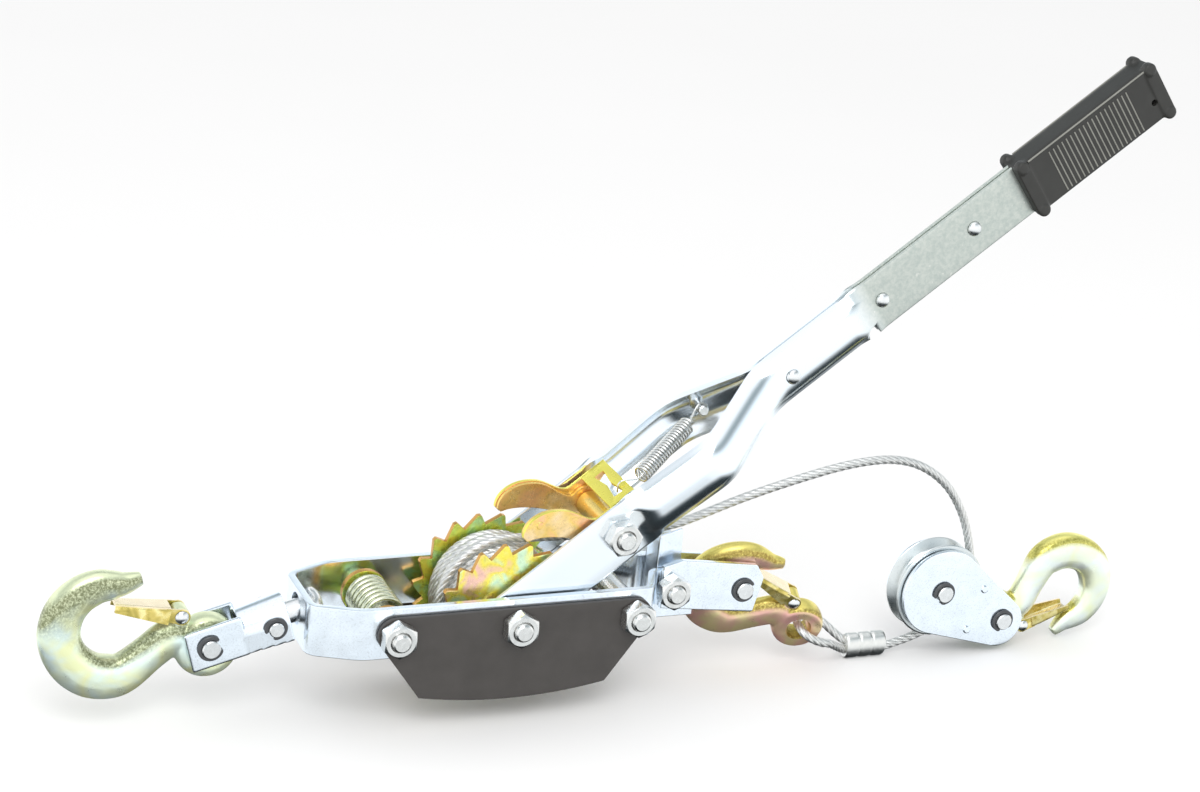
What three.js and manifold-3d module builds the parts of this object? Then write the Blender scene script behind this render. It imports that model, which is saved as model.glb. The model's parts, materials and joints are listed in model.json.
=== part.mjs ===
// A come along winch (hand cable puller): a strap frame holds a cable drum between two ratchet
// wheels, a lever with a spring-loaded drive pawl turns it, and a stop pawl holds it. A swivel hook
// leaves the front. The cable runs over a pulley block and back to a hook on the rear anchor pin.
// Millimetres. +X runs along the frame to the anchor pin, +Z is up, and "near" is the -Y side.
// Every sub-part is drawn with the middle of the drum axle at zero; the last lines move the whole
// winch so that zero is the middle of its box, at the height of its lowest point.
import * as THREE from "three";
import { mergeVertices } from "three/addons/utils/BufferGeometryUtils.js";
import Module from "manifold-3d";

const wasm = await Module();
wasm.setup();

// ---------------------------------------------------------------- driving dimensions
const GAP = 0.3; // clearance between pieces that touch or turn on each other

const STRAP = { height: 28, thick: 4, halfWidth: 34, frontX: -110.3, tongueX: 112 };
const BOLT = { radius: 4.9, bore: 5.4, flats: 17, headHeight: 6.4, nutHeight: 8, tail: 2.5 };
const BOLT_X = 67; // front and rear through bolts, each side of the axle
const SIDE_PLATE = { thick: 2.5, top: 9.7, cornerX: 52.5, cornerZ: -37, bottomZ: -42 };

const TEETH = 18;
const WHEEL = { tip: 40, gullet: 34.3, inner: 19.3, thick: 3.5, firstTip: 176.6, drop: 5.3 };
const DRUM = { core: 14, wound: 33.4, halfWidth: 18.7, wraps: 7 };

const LEVER_ANGLE = 37.4; // degrees above the frame, at rest
const ARM = { outer: 28.5, thick: 3, halfHeight: 14.5, pawlL: 72.3, gripL: 366.5, endL: 465 };
const ARM_RIVETS = [200.5, 266.6, 331.7];
const DRIVE_PAWL = { outer: 23.2, sheet: 2.6, doubler: 2.4, webTop: 13, webStart: 77, webEnd: 93 };

const CHEEK = { inner: 13.3, thick: 3.5 };
const BRACKET_BOLT = { x: 96, z: 4.5 };
const ANCHOR = { x: 140.6, z: 0.3, radius: 4.9 };

const SWIVEL_TILT = 15; // degrees that the swivel hangs below the frame's axis
const HOOK_PIN = { x: -157.6, z: -10.5, radius: 4.9 };
const YOKE = { outer: 10.7, wide: 12.5, thick: 2.8, tubeStart: 17.5, tubeEnd: 43, pinS: 34.5 };
const CROSS_PIN = { radius: 4, ring: 6.2 };
const STUD = { radius: 6, head: 9.5, hole: 8.5, holeZ: 3, headS: 57.6 };

const HOOK = { size: 1, eye: 17, bore: 7.8, drop: 2.5, halfThick: 7, bowlX: -48.9, bowlZ: 11 };
const LATCH = { pivotX: -14.3, pivotZ: 16.3, turn: 12.5, length: 35, inner: 5.2, tipInner: 3.8 };
const LATCH_SHEET = 1.3;
const LATCH_RIVET = 2.1;

const CABLE = { radius: 2.5, steps: 110 };
const SHEAVE = { x: 274.1, z: -15.7, radius: 28.3, groove: 21.8, halfWidth: 6.8, cableR: 24.7 };
const BLOCK = { inner: 7.6, thick: 3, pinX: 42.6, pinZ: -20.9, head: 26 };
const BLOCK_TAIL = { x: 41.5, z: -22.5, radius: 15 };
const SMALL_HOOK = { size: 0.92, eye: 15, drop: 0 }; // the cable hook and the block hook
const BLOCK_HOOK_TURN = 152.6; // degrees about the hook pin
const CABLE_HOOK = { x: 185.6, y: -0.5, z: -30.6, roll: 19, pitch: 22, yaw: -5 };
const FERRULE = { x0: 219, x1: 244, z: -48.8, halfHeight: 7.6, halfDepth: 5.4 };

const rad = THREE.MathUtils.degToRad;

// ---------------------------------------------------------------- materials
const finish = (color, roughness, metalness) =>
  new THREE.MeshStandardMaterial({ color, roughness, metalness });
const zinc = finish(0xc9d3de, 0.3, 0.9);
const steel = finish(0xbfc0bd, 0.35, 0.9);
const gold = finish(0xc9a73c, 0.35, 0.85);
const hookGold = finish(0xb9b465, 0.38, 0.85);
const black = finish(0x1d1c1b, 0.5, 0.1);
const grip = finish(0x171717, 0.55, 0);
const ropeSteel = finish(0xa9a8a4, 0.5, 0.8);
const aluminium = finish(0xc4c4c0, 0.45, 0.8);

// ---------------------------------------------------------------- solids
function solid(geometry) {
  const bare = geometry.index ? geometry.toNonIndexed() : geometry.clone();
  bare.deleteAttribute("normal");
  bare.deleteAttribute("uv");
  const merged = mergeVertices(bare, 1e-4);
  const mesh = new wasm.Mesh({
    numProp: 3,
    vertProperties: merged.attributes.position.array,
    triVerts: new Uint32Array(merged.index.array),
  });
  return new wasm.Manifold(mesh);
}

function geometryOf(body) {
  const mesh = body.getMesh();
  const positions = new Float32Array(mesh.numVert * 3);
  for (let i = 0; i < mesh.numVert; i++) {
    const start = i * mesh.numProp;
    positions.set(mesh.vertProperties.subarray(start, start + 3), i * 3);
  }
  const geometry = new THREE.BufferGeometry();
  geometry.setAttribute("position", new THREE.BufferAttribute(positions, 3));
  geometry.setIndex(new THREE.BufferAttribute(new Uint32Array(mesh.triVerts), 1));
  geometry.computeVertexNormals();
  return geometry;
}

const join = (...bodies) => bodies.reduce((sum, body) => sum.add(body));
const cut = (body, ...tools) => tools.reduce((rest, tool) => rest.subtract(tool), body);

function piece(name, body, material) {
  const mesh = new THREE.Mesh(geometryOf(body), material);
  mesh.name = name;
  return mesh;
}

// A flat plate: its outline drawn in x and z, filling y0 to y1.
function plate(outline, y0, y1, curveSegments = 6) {
  const geometry = new THREE.ExtrudeGeometry(outline, {
    depth: y1 - y0,
    bevelEnabled: false,
    curveSegments,
  });
  geometry.rotateX(Math.PI / 2);
  geometry.translate(0, y1, 0);
  return solid(geometry);
}

// A bar along x: its section drawn in y and z.
function bar(section, x0, x1, curveSegments = 6) {
  const geometry = new THREE.ExtrudeGeometry(section, {
    depth: x1 - x0,
    bevelEnabled: false,
    curveSegments,
  });
  const [x, y, z] = [0, 1, 2].map((i) => new THREE.Vector3().setComponent(i, 1));
  geometry.applyMatrix4(new THREE.Matrix4().makeBasis(y, z, x));
  geometry.translate(x0, 0, 0);
  return solid(geometry);
}

// A slab: its outline drawn in x and y, filling z0 to z1.
function slab(outline, z0, z1) {
  const geometry = new THREE.ExtrudeGeometry(outline, { depth: z1 - z0, bevelEnabled: false });
  geometry.translate(0, 0, z0);
  return solid(geometry);
}

function box(x0, x1, y0, y1, z0, z1) {
  const geometry = new THREE.BoxGeometry(x1 - x0, y1 - y0, z1 - z0);
  geometry.translate((x0 + x1) / 2, (y0 + y1) / 2, (z0 + z1) / 2);
  return solid(geometry);
}

// A round bar across the frame, along y.
function rod(radius, y0, y1, x = 0, z = 0, sides = 16) {
  const geometry = new THREE.CylinderGeometry(radius, radius, y1 - y0, sides);
  geometry.translate(x, (y0 + y1) / 2, z);
  return solid(geometry);
}

// A hexagonal prism along y, with corners at its top and bottom.
function hexagon(flats, y0, y1, x, z) {
  return rod(flats / Math.sqrt(3), y0, y1, x, z, 6);
}

// A turned piece about the y direction: the profile lists [radius, y] upwards in y.
function turned(profile, x = 0, z = 0, sides = 24) {
  const points = profile.map(([radius, y]) => new THREE.Vector2(radius, y));
  const geometry = new THREE.LatheGeometry(points, sides);
  geometry.translate(x, 0, z);
  return solid(geometry);
}

// A turned ring: inner and outer radius, filling y0 to y1.
function ring(inner, outer, y0, y1, x = 0, z = 0, sides = 24) {
  const profile = [
    [inner, y0],
    [outer, y0],
    [outer, y1],
    [inner, y1],
    [inner, y0],
  ];
  return turned(profile, x, z, sides);
}

// A round wire along a curve.
function wire(curve, radius, steps, sides = 6) {
  const section = new THREE.Shape();
  for (let i = 0; i < sides; i++) {
    const angle = (2 * Math.PI * i) / sides;
    const [x, y] = [radius * Math.cos(angle), radius * Math.sin(angle)];
    if (i === 0) section.moveTo(x, y);
    else section.lineTo(x, y);
  }
  const geometry = new THREE.ExtrudeGeometry(section, { steps, extrudePath: curve });
  return solid(geometry);
}

// A closed skin over sections that have the same number of points, given in order.
function loft(sections) {
  const count = sections[0].length;
  const positions = sections.flat().flatMap((point) => point.toArray());
  const faces = [];
  for (let s = 0; s + 1 < sections.length; s++) {
    for (let i = 0; i < count; i++) {
      const next = (i + 1) % count;
      const [a, b] = [s * count + i, s * count + next];
      faces.push(a, b, b + count, a, b + count, a + count);
    }
  }
  const last = (sections.length - 1) * count;
  const flatten = (section) => {
    const [origin, across] = [section[0], section[1].clone().sub(section[0]).normalize()];
    const centre = section.reduce((sum, p) => sum.add(p), new THREE.Vector3()).divideScalar(count);
    const normal = new THREE.Vector3();
    section.forEach((point, i) => {
      const here = point.clone().sub(centre);
      normal.add(here.cross(section[(i + 1) % count].clone().sub(centre)));
    });
    const up = normal.normalize().cross(across);
    return section.map((p) => {
      const offset = p.clone().sub(origin);
      return new THREE.Vector2(offset.dot(across), offset.dot(up));
    });
  };
  for (const [a, b, c] of THREE.ShapeUtils.triangulateShape(flatten(sections[0]), [])) {
    faces.push(a, c, b);
  }
  for (const [a, b, c] of THREE.ShapeUtils.triangulateShape(flatten(sections.at(-1)), [])) {
    faces.push(last + a, last + b, last + c);
  }
  const geometry = new THREE.BufferGeometry();
  geometry.setAttribute("position", new THREE.Float32BufferAttribute(positions, 3));
  geometry.setIndex(faces);
  return solid(geometry);
}

// ---------------------------------------------------------------- outlines
function outlineOf(points) {
  return new THREE.Shape(points.map(([x, y]) => new THREE.Vector2(x, y)));
}

// A line through corners [x, y, radius], each corner rounded to its radius.
function roundedLine(corners, arcSteps = 4) {
  const points = [];
  corners.forEach(([x, y, radius = 0], i) => {
    const corner = new THREE.Vector2(x, y);
    if (!radius) {
      points.push(corner);
      return;
    }
    const back = new THREE.Vector2(...corners[i - 1].slice(0, 2)).sub(corner).normalize();
    const on = new THREE.Vector2(...corners[i + 1].slice(0, 2)).sub(corner).normalize();
    const half = Math.acos(back.dot(on)) / 2;
    const reach = radius / Math.tan(half);
    const start = corner.clone().addScaledVector(back, reach);
    const end = corner.clone().addScaledVector(on, reach);
    const middle = back.clone().add(on).normalize();
    const centre = corner.clone().addScaledVector(middle, radius / Math.sin(half));
    const [from, to] = [start, end].map((p) => Math.atan2(p.y - centre.y, p.x - centre.x));
    const sweep = Math.atan2(Math.sin(to - from), Math.cos(to - from));
    for (let k = 0; k <= arcSteps; k++) {
      const angle = from + (sweep * k) / arcSteps;
      const x = centre.x + radius * Math.cos(angle);
      points.push(new THREE.Vector2(x, centre.y + radius * Math.sin(angle)));
    }
  });
  return points;
}

// The outline of a bent sheet: a centre line thickened by half the sheet to each side.
function ribbon(line, thick) {
  const sides = [[], []];
  line.forEach((point, i) => {
    const back = point.clone().sub(line[Math.max(i - 1, 0)]).normalize();
    const on = line[Math.min(i + 1, line.length - 1)].clone().sub(point).normalize();
    const along = back.clone().add(on).normalize();
    const across = new THREE.Vector2(-along.y, along.x);
    const reach = thick / 2 / Math.max(along.dot(on.lengthSq() ? on : back), 0.5);
    sides[0].push(point.clone().addScaledVector(across, -reach));
    sides[1].unshift(point.clone().addScaledVector(across, reach));
  });
  return new THREE.Shape([...sides[0], ...sides[1]]);
}

// The outline around two discs joined by their outer tangents.
function teardrop(r0, x1, z1, r1, steps = 10) {
  const distance = Math.hypot(x1, z1);
  const heading = Math.atan2(z1, x1);
  const spread = Math.acos((r0 - r1) / distance);
  const points = [];
  for (let k = 0; k <= steps; k++) {
    const angle = heading + spread + ((2 * Math.PI - 2 * spread) * k) / steps;
    points.push([r0 * Math.cos(angle), r0 * Math.sin(angle)]);
  }
  for (let k = 0; k <= steps; k++) {
    const angle = heading - spread + (2 * spread * k) / steps;
    points.push([x1 + r1 * Math.cos(angle), z1 + r1 * Math.sin(angle)]);
  }
  return outlineOf(points);
}

// ---------------------------------------------------------------- bolts, nuts and pins
// A through bolt with its head on the far side and its nut on the near side.
function boltAndNut(name, x, z, halfGrip) {
  const headStart = halfGrip + GAP;
  const nutEnd = -halfGrip - GAP;
  const nutStart = nutEnd - BOLT.nutHeight;
  const shank = rod(BOLT.radius, nutStart - BOLT.tail, headStart + 1, x, z, 16);
  const head = hexagon(BOLT.flats, headStart, headStart + BOLT.headHeight, x, z);
  const nut = cut(
    hexagon(BOLT.flats, nutStart, nutEnd, x, z),
    rod(BOLT.bore - 0.2, nutStart - 1, nutEnd + 1, x, z, 16),
  );
  return [
    piece(`${name}_bolt`, join(shank, head), steel),
    piece(`${name}_nut`, nut, steel),
  ];
}

// A headed pin held by a retaining ring on its near end.
function ringedPin(name, radius, halfGrip, x, z, ringRadius = radius + 2) {
  const outside = halfGrip + GAP;
  const profile = [
    [0, -outside - 3],
    [radius, -outside - 3],
    [radius, -outside - 1.3],
    [ringRadius, -outside - 1.3],
    [ringRadius, -outside],
    [radius, -outside],
    [radius, outside],
    [ringRadius, outside],
    [ringRadius, outside + 2],
    [0, outside + 2],
  ];
  return piece(name, turned(profile, x, z, 14), steel);
}

// ---------------------------------------------------------------- frame
function frameStrap() {
  const side = STRAP.halfWidth - STRAP.thick / 2;
  const front = STRAP.frontX + STRAP.thick / 2;
  const tongue = CHEEK.inner - GAP - STRAP.thick / 2;
  const half = [
    [STRAP.tongueX, -tongue],
    [86.5, -tongue, 5],
    [76.5, -side, 5],
    [-84, -side, 26],
    [front, -20.5, 7],
  ];
  const other = half.map(([x, y, radius]) => [x, -y, radius]).reverse();
  const body = slab(ribbon(roundedLine([...half, ...other]), STRAP.thick), -14, 14);
  const reach = STRAP.halfWidth + 2;
  const bolts = [-BOLT_X, 0, BOLT_X].map((x) => rod(BOLT.bore, -reach, reach, x, 0));
  const rear = rod(BOLT.bore, -reach, reach, BRACKET_BOLT.x, BRACKET_BOLT.z);
  const stud = bar(new THREE.Shape().absarc(0, STUD.holeZ, STUD.hole, 0, 2 * Math.PI), -120, -90);
  return piece("frame_strap", cut(body, ...bolts, rear, stud), zinc);
}

function sidePlate(name, y0) {
  const { top, cornerX, cornerZ, bottomZ } = SIDE_PLATE;
  const sag = cornerZ - bottomZ;
  const arc = (cornerX ** 2 + sag ** 2) / (2 * sag);
  const spread = Math.asin(cornerX / arc);
  const outline = new THREE.Shape();
  outline.absarc(BOLT_X, 0, top, rad(90), rad(-35), true);
  outline.absarc(0, bottomZ + arc, arc, -Math.PI / 2 + spread, -Math.PI / 2 - spread, true);
  outline.absarc(-BOLT_X, 0, top, rad(215), rad(90), true);
  const holes = [-BOLT_X, 0, BOLT_X].map((x) => rod(BOLT.bore, y0 - 1, y0 + 5, x, 0));
  return piece(name, cut(plate(outline, y0, y0 + SIDE_PLATE.thick), ...holes), black);
}

function bracketPlate(name, y0, corners) {
  const outline = outlineOf(corners);
  const y1 = y0 + CHEEK.thick;
  const bolt = rod(BOLT.bore, y0 - 1, y1 + 1, BRACKET_BOLT.x, BRACKET_BOLT.z);
  const pin = rod(ANCHOR.radius + GAP + 0.1, y0 - 1, y1 + 1, ANCHOR.x, ANCHOR.z);
  return piece(name, cut(plate(outline, y0, y1), bolt, pin), zinc);
}

// A folded sheet between the strap's tongues: its two ears stand up each side of the cable.
function cableGuide() {
  const [outer, sheet] = [8.6, 2];
  const ear = outlineOf([
    [90.5, -12],
    [105, -12],
    [104, 36],
    [90.5, 32.5],
  ]);
  const body = plate(ear, -outer, outer);
  const inside = box(90.5 + sheet, 120, -outer + sheet, outer - sheet, -20, 40);
  const aboveWeb = box(80, 95, -outer + sheet, outer - sheet, 29, 40);
  const bolt = rod(BOLT.bore, -20, 20, BRACKET_BOLT.x, BRACKET_BOLT.z);
  return piece("cable_guide", cut(body, inside, aboveWeb, bolt), zinc);
}

// The torsion spring that presses the stop pawl onto the wheels.
function stopPawlSpring() {
  const [turns, coil, wireRadius, y0, y1] = [7, 11, 1.3, -17, 17];
  const steps = turns * 9;
  const points = [];
  for (let i = 0; i <= steps; i++) {
    const angle = (2 * Math.PI * i) / 9;
    const y = y0 + ((y1 - y0) * i) / steps;
    const [x, z] = [-BOLT_X + coil * Math.cos(angle), coil * Math.sin(angle)];
    points.push(new THREE.Vector3(x, y, z));
  }
  const curve = new THREE.CatmullRomCurve3(points);
  return piece("stop_pawl_spring", wire(curve, wireRadius, steps, 4), steel);
}

function frame() {
  const group = new THREE.Group();
  const plateOuter = STRAP.halfWidth + GAP + SIDE_PLATE.thick;
  const cheekOuter = CHEEK.inner + CHEEK.thick;
  const spacerEnd = STRAP.halfWidth - STRAP.thick - GAP;
  group.add(
    frameStrap(),
    sidePlate("side_plate_near", -plateOuter),
    sidePlate("side_plate_far", STRAP.halfWidth + GAP),
    ...boltAndNut("front", -BOLT_X, 0, plateOuter),
    ...boltAndNut("axle", 0, 0, plateOuter),
    ...boltAndNut("rear", BOLT_X, 0, plateOuter),
    piece("front_spacer", ring(BOLT.bore, 6.9, -spacerEnd, spacerEnd, -BOLT_X, 0), steel),
    piece("rear_spacer", ring(BOLT.bore, 7.5, -spacerEnd, spacerEnd, BOLT_X, 0), steel),
    bracketPlate("bracket_plate_near", -cheekOuter, [
      [91, -6.8],
      [147.7, -13.9],
      [152.6, 6.4],
      [147.8, 14.6],
      [102.2, 20.5],
      [91, 17.6],
    ]),
    bracketPlate("bracket_plate_far", CHEEK.inner, [
      [91, -6.8],
      [147.7, -9],
      [150, 0],
      [147, 7.5],
      [104, 13],
      [91, 13],
    ]),
    cableGuide(),
    ...boltAndNut("bracket", BRACKET_BOLT.x, BRACKET_BOLT.z, cheekOuter),
    ringedPin("anchor_pin", ANCHOR.radius, cheekOuter, ANCHOR.x, ANCHOR.z),
    stopPawlSpring(),
  );
  return group;
}

// ---------------------------------------------------------------- drum
function ratchetWheel(name, y0) {
  const pitch = 360 / TEETH;
  const at = (radius, degrees) => [radius * Math.cos(rad(degrees)), radius * Math.sin(rad(degrees))];
  const points = [];
  for (let k = 0; k < TEETH; k++) {
    const tip = WHEEL.firstTip + k * pitch;
    points.push(at(WHEEL.gullet, tip - WHEEL.drop), at(WHEEL.tip, tip - 1), at(WHEEL.tip, tip + 1));
  }
  const y1 = y0 + WHEEL.thick;
  const bore = rod(BOLT.bore, y0 - 1, y1 + 1);
  return piece(name, cut(plate(outlineOf(points), y0, y1), bore), gold);
}

// The cable as it lies on the drum: side-by-side wraps, each a round hump.
function woundCable() {
  const pitch = (2 * DRUM.halfWidth) / DRUM.wraps;
  const profile = [[DRUM.core + GAP, -DRUM.halfWidth]];
  for (let k = 0; k < DRUM.wraps; k++) {
    const y = -DRUM.halfWidth + k * pitch;
    profile.push([DRUM.wound - 1.6, y]);
    profile.push([DRUM.wound, y + pitch / 2]);
  }
  profile.push([DRUM.wound - 1.6, DRUM.halfWidth]);
  profile.push([DRUM.core + GAP, DRUM.halfWidth]);
  profile.push(profile[0]);
  return piece("drum_cable", turned(profile, 0, 0, 24), ropeSteel);
}

function drum() {
  const group = new THREE.Group();
  const coreEnd = WHEEL.inner - GAP;
  group.add(
    ratchetWheel("ratchet_wheel_near", -WHEEL.inner - WHEEL.thick),
    ratchetWheel("ratchet_wheel_far", WHEEL.inner),
    piece("drum_core", ring(BOLT.bore, DRUM.core, -coreEnd, coreEnd), steel),
    woundCable(),
  );
  return group;
}

// ---------------------------------------------------------------- lever
// One station of a lever arm: outer face y, flange turn in degrees, half web, flange width.
function armSection(along, outer, turn, halfWeb, flange) {
  const t = ARM.thick;
  const [s, c] = [Math.sin(rad(turn)), Math.cos(rad(turn))];
  const innerWeb = halfWeb - t * Math.tan(rad(turn) / 2);
  const half = [
    [outer + flange * s + t * c, halfWeb + flange * c - t * s],
    [outer + flange * s, halfWeb + flange * c],
    [outer, halfWeb],
  ];
  const innerHalf = [outer + t, innerWeb];
  const points = [
    ...half,
    ...half.map(([y, z]) => [y, -z]).reverse(),
    [innerHalf[0], -innerHalf[1]],
    innerHalf,
  ];
  return points.map(([y, z]) => new THREE.Vector3(along, y, z));
}

// The near arm: a flat blade on the axle, then a pressed trough that swings out and back in, then
// a flat bar that runs into the grip.
function leverArm() {
  const flat = [8, 6.5];
  const trough = [7.4, 9.6];
  const stations = [
    [83, -ARM.outer, 0, ...flat],
    [92, -34.2, 45, ...trough],
    [130, -37.4, 45, ...trough],
    [138, -37.4, 45, ...trough],
    [146, -34, 45, ...trough],
    [182, -11.5, 45, ...trough],
    [190, -9.5, 45, ...trough],
    [247, -9.5, 45, ...trough],
    [259, -3.4, 0, ...flat],
    [448, -3.4, 0, ...flat],
  ];
  const pressed = loft(stations.map((station) => armSection(...station)));
  const blade = new THREE.Shape();
  blade.absarc(0, 0, ARM.halfHeight, rad(90), rad(270), false);
  blade.lineTo(84, -ARM.halfHeight);
  blade.lineTo(84, ARM.halfHeight);
  const body = join(pressed, plate(blade, -ARM.outer, -ARM.outer + ARM.thick));
  const holes = [rod(BOLT.bore, -60, 0), rod(BOLT.bore, -60, 0, ARM.pawlL)];
  const rivets = ARM_RIVETS.map((along) => rod(2.8, -60, 5, along, 0, 12));
  const relief = box(250, 257, -20, 0, -30, -10);
  return cut(body, ...holes, ...rivets, relief);
}

function leverRivet(name, along, outer) {
  const face = outer + GAP;
  const profile = [
    [0, -face - 2.4],
    [2.6, -face - 2],
    [4.2, -face],
    [2.4, -face],
    [2.4, face],
    [4.2, face],
    [2.6, face + 2],
    [0, face + 2.4],
  ];
  return piece(name, turned(profile, along, 0, 12), steel);
}

// The moulded grip: a hollow bar with a flared collar at each end.
function leverGrip() {
  const oblong = (halfY, halfZ, round) =>
    new THREE.Shape(
      roundedLine([
        [-halfY, 0],
        [-halfY, -halfZ, round],
        [halfY, -halfZ, round],
        [halfY, halfZ, round],
        [-halfY, halfZ, round],
        [-halfY, 0],
      ]).slice(0, -1),
    );
  const body = bar(oblong(8.5, 16.4, 3), ARM.gripL + 1, ARM.endL - 1);
  const collars = [ARM.gripL, ARM.endL - 7].map((x) => bar(oblong(10.5, 18.8, 3.5), x, x + 7));
  const socket = box(ARM.gripL - 5, 450, -3.4 - 0.5, 3.4 + 0.5, -15, 15);
  const hole = rod(2, -20, 20, 455.5, -4, 10);
  return piece("lever_grip", cut(join(body, ...collars), socket, hole), grip);
}

// The drive pawl's return spring, from the pawl's web towards its anchor on the far arm.
function pawlSpring() {
  const [low, high] = [new THREE.Vector3(101.5, -9, 9.8), new THREE.Vector3(141, 13.3, 3.5)];
  return piece("pawl_spring", wire(new THREE.LineCurve3(low, high), 4.4, 1, 10), steel);
}

function drivePawl() {
  const side = new THREE.Shape();
  side.moveTo(30.3, 28.7);
  side.lineTo(29.8, 32.3);
  side.bezierCurveTo(34.5, 38.6, 46.5, 39, 56, 29.7);
  side.bezierCurveTo(62, 24, 63, DRIVE_PAWL.webTop, 70, DRIVE_PAWL.webTop);
  side.lineTo(DRIVE_PAWL.webEnd, DRIVE_PAWL.webTop);
  side.lineTo(DRIVE_PAWL.webEnd, 8);
  side.absarc(ARM.pawlL, 0, 11.5, rad(20), rad(-140), true);
  side.bezierCurveTo(58, 2, 50, 19, 34.5, 27.2);

  const doubler = new THREE.Shape();
  doubler.moveTo(30.6, 29);
  doubler.lineTo(30.2, 31.8);
  doubler.bezierCurveTo(34.5, 38, 46.5, 38.5, 55.6, 29.2);
  doubler.bezierCurveTo(61.5, 24, 61.5, 14, 67, 9.5);
  doubler.absarc(ARM.pawlL, 0, 10, rad(110), rad(-140), true);
  doubler.bezierCurveTo(58, 2, 50, 19, 34.5, 27.5);

  const { outer, sheet, doubler: second, webTop, webStart, webEnd } = DRIVE_PAWL;
  const bore = rod(BOLT.bore, -40, 40, ARM.pawlL);
  const slot = outlineOf([
    [82.5, -14.5],
    [88.5, -14.5],
    [86.7, -0.5],
    [88.5, 13.5],
    [82.5, 13.5],
    [84.3, -0.5],
  ]);
  const folded = join(
    plate(side, -outer, -outer + sheet),
    plate(side, outer - sheet, outer),
    box(webStart, webEnd, -outer, outer, webTop - sheet, webTop),
  );
  const inner = outer - sheet - 0.2;
  const sleeveEnd = inner - second - GAP;
  const group = new THREE.Group();
  group.add(
    piece("drive_pawl", cut(folded, bore, slab(slot, 5, 20)), gold),
    piece("pawl_doubler_near", cut(plate(doubler, -inner, -inner + second), bore), gold),
    piece("pawl_doubler_far", cut(plate(doubler, inner - second, inner), bore), gold),
    piece("pawl_sleeve", ring(BOLT.bore, 7.2, -sleeveEnd, sleeveEnd, ARM.pawlL, 0), gold),
  );
  return group;
}

function lever() {
  const group = new THREE.Group();
  group.rotation.y = -rad(LEVER_ANGLE);
  const near = piece("lever_arm_near", leverArm(), zinc);
  const anchorHole = rod(3.5, -60, 0, 153, 3);
  const far = piece("lever_arm_far", cut(leverArm(), anchorHole), zinc);
  far.scale.y = -1;
  group.add(
    near,
    far,
    ...ARM_RIVETS.map((along, i) => leverRivet(`lever_rivet_${i + 1}`, along, i ? 3.4 : 9.5)),
    leverGrip(),
    ...boltAndNut("pawl", ARM.pawlL, 0, ARM.outer),
    piece("spring_anchor", rod(3, 14, 36, 153, 3, 12), steel),
    pawlSpring(),
    drivePawl(),
  );
  return group;
}

// ---------------------------------------------------------------- stop pawl
// Two fingers under the wheels, each a plate round the front bolt, joined by a web under the spring.
function stopPawlFinger(hub) {
  const finger = new THREE.Shape();
  finger.absarc(-BOLT_X, 0, hub, rad(19), rad(225), false);
  finger.lineTo(-32.5, -32.5);
  finger.lineTo(-28.6, -30.6);
  finger.lineTo(-42, -20);
  finger.quadraticCurveTo(-53, -10, hub * Math.cos(rad(19)) - BOLT_X, hub * Math.sin(rad(19)));
  return finger;
}

function stopPawl() {
  const [y0, y1] = [18.6, 22.6];
  const near = plate(stopPawlFinger(9.6), -y1, -y0);
  const far = plate(stopPawlFinger(12.5), y0, y1);
  const web = outlineOf([
    [-63.5, -15.5],
    [-54.7, -20.3],
    [-53.5, -18],
    [-62.3, -13.2],
  ]);
  const body = join(near, far, plate(web, -y1, y1));
  return piece("stop_pawl", cut(body, rod(7.3, -30, 30, -BOLT_X, 0)), gold);
}

// ---------------------------------------------------------------- hooks
// The forging's half width and half thickness along its centre line, from the eye to the tip.
function hookStations() {
  const shank = [
    [-8, 1.6, 10.5, 6.8],
    [-18.6, 2.6, 11.4, 7],
    [-28.4, -4.2, 10.8, 7],
  ];
  const bowl = [
    [-72, 26.2, 10.6, 7],
    [-90, 27.2, 11.6, 7.2],
    [-112, 27.4, 11.8, 7.4],
    [-135, 27, 11.5, 7.4],
    [-158, 26.7, 11.1, 7.4],
    [180, 26.4, 10.8, 7.2],
    [156, 26, 10.3, 7],
    [133, 25.3, 9.6, 6.7],
    [110, 24.4, 8.8, 6.2],
    [90, 23.5, 7.5, 5.4],
    [76, 24.6, 5.8, 4.5],
    [66, 27.6, 4.4, 3.6],
    [60.5, 30, 3.3, 2.8],
  ];
  const round = bowl.map(([angle, radius, halfWidth, halfThick]) => [
    HOOK.bowlX + radius * Math.cos(rad(angle)),
    HOOK.bowlZ + radius * Math.sin(rad(angle)),
    halfWidth,
    halfThick,
  ]);
  return [...shank, ...round];
}

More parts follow.
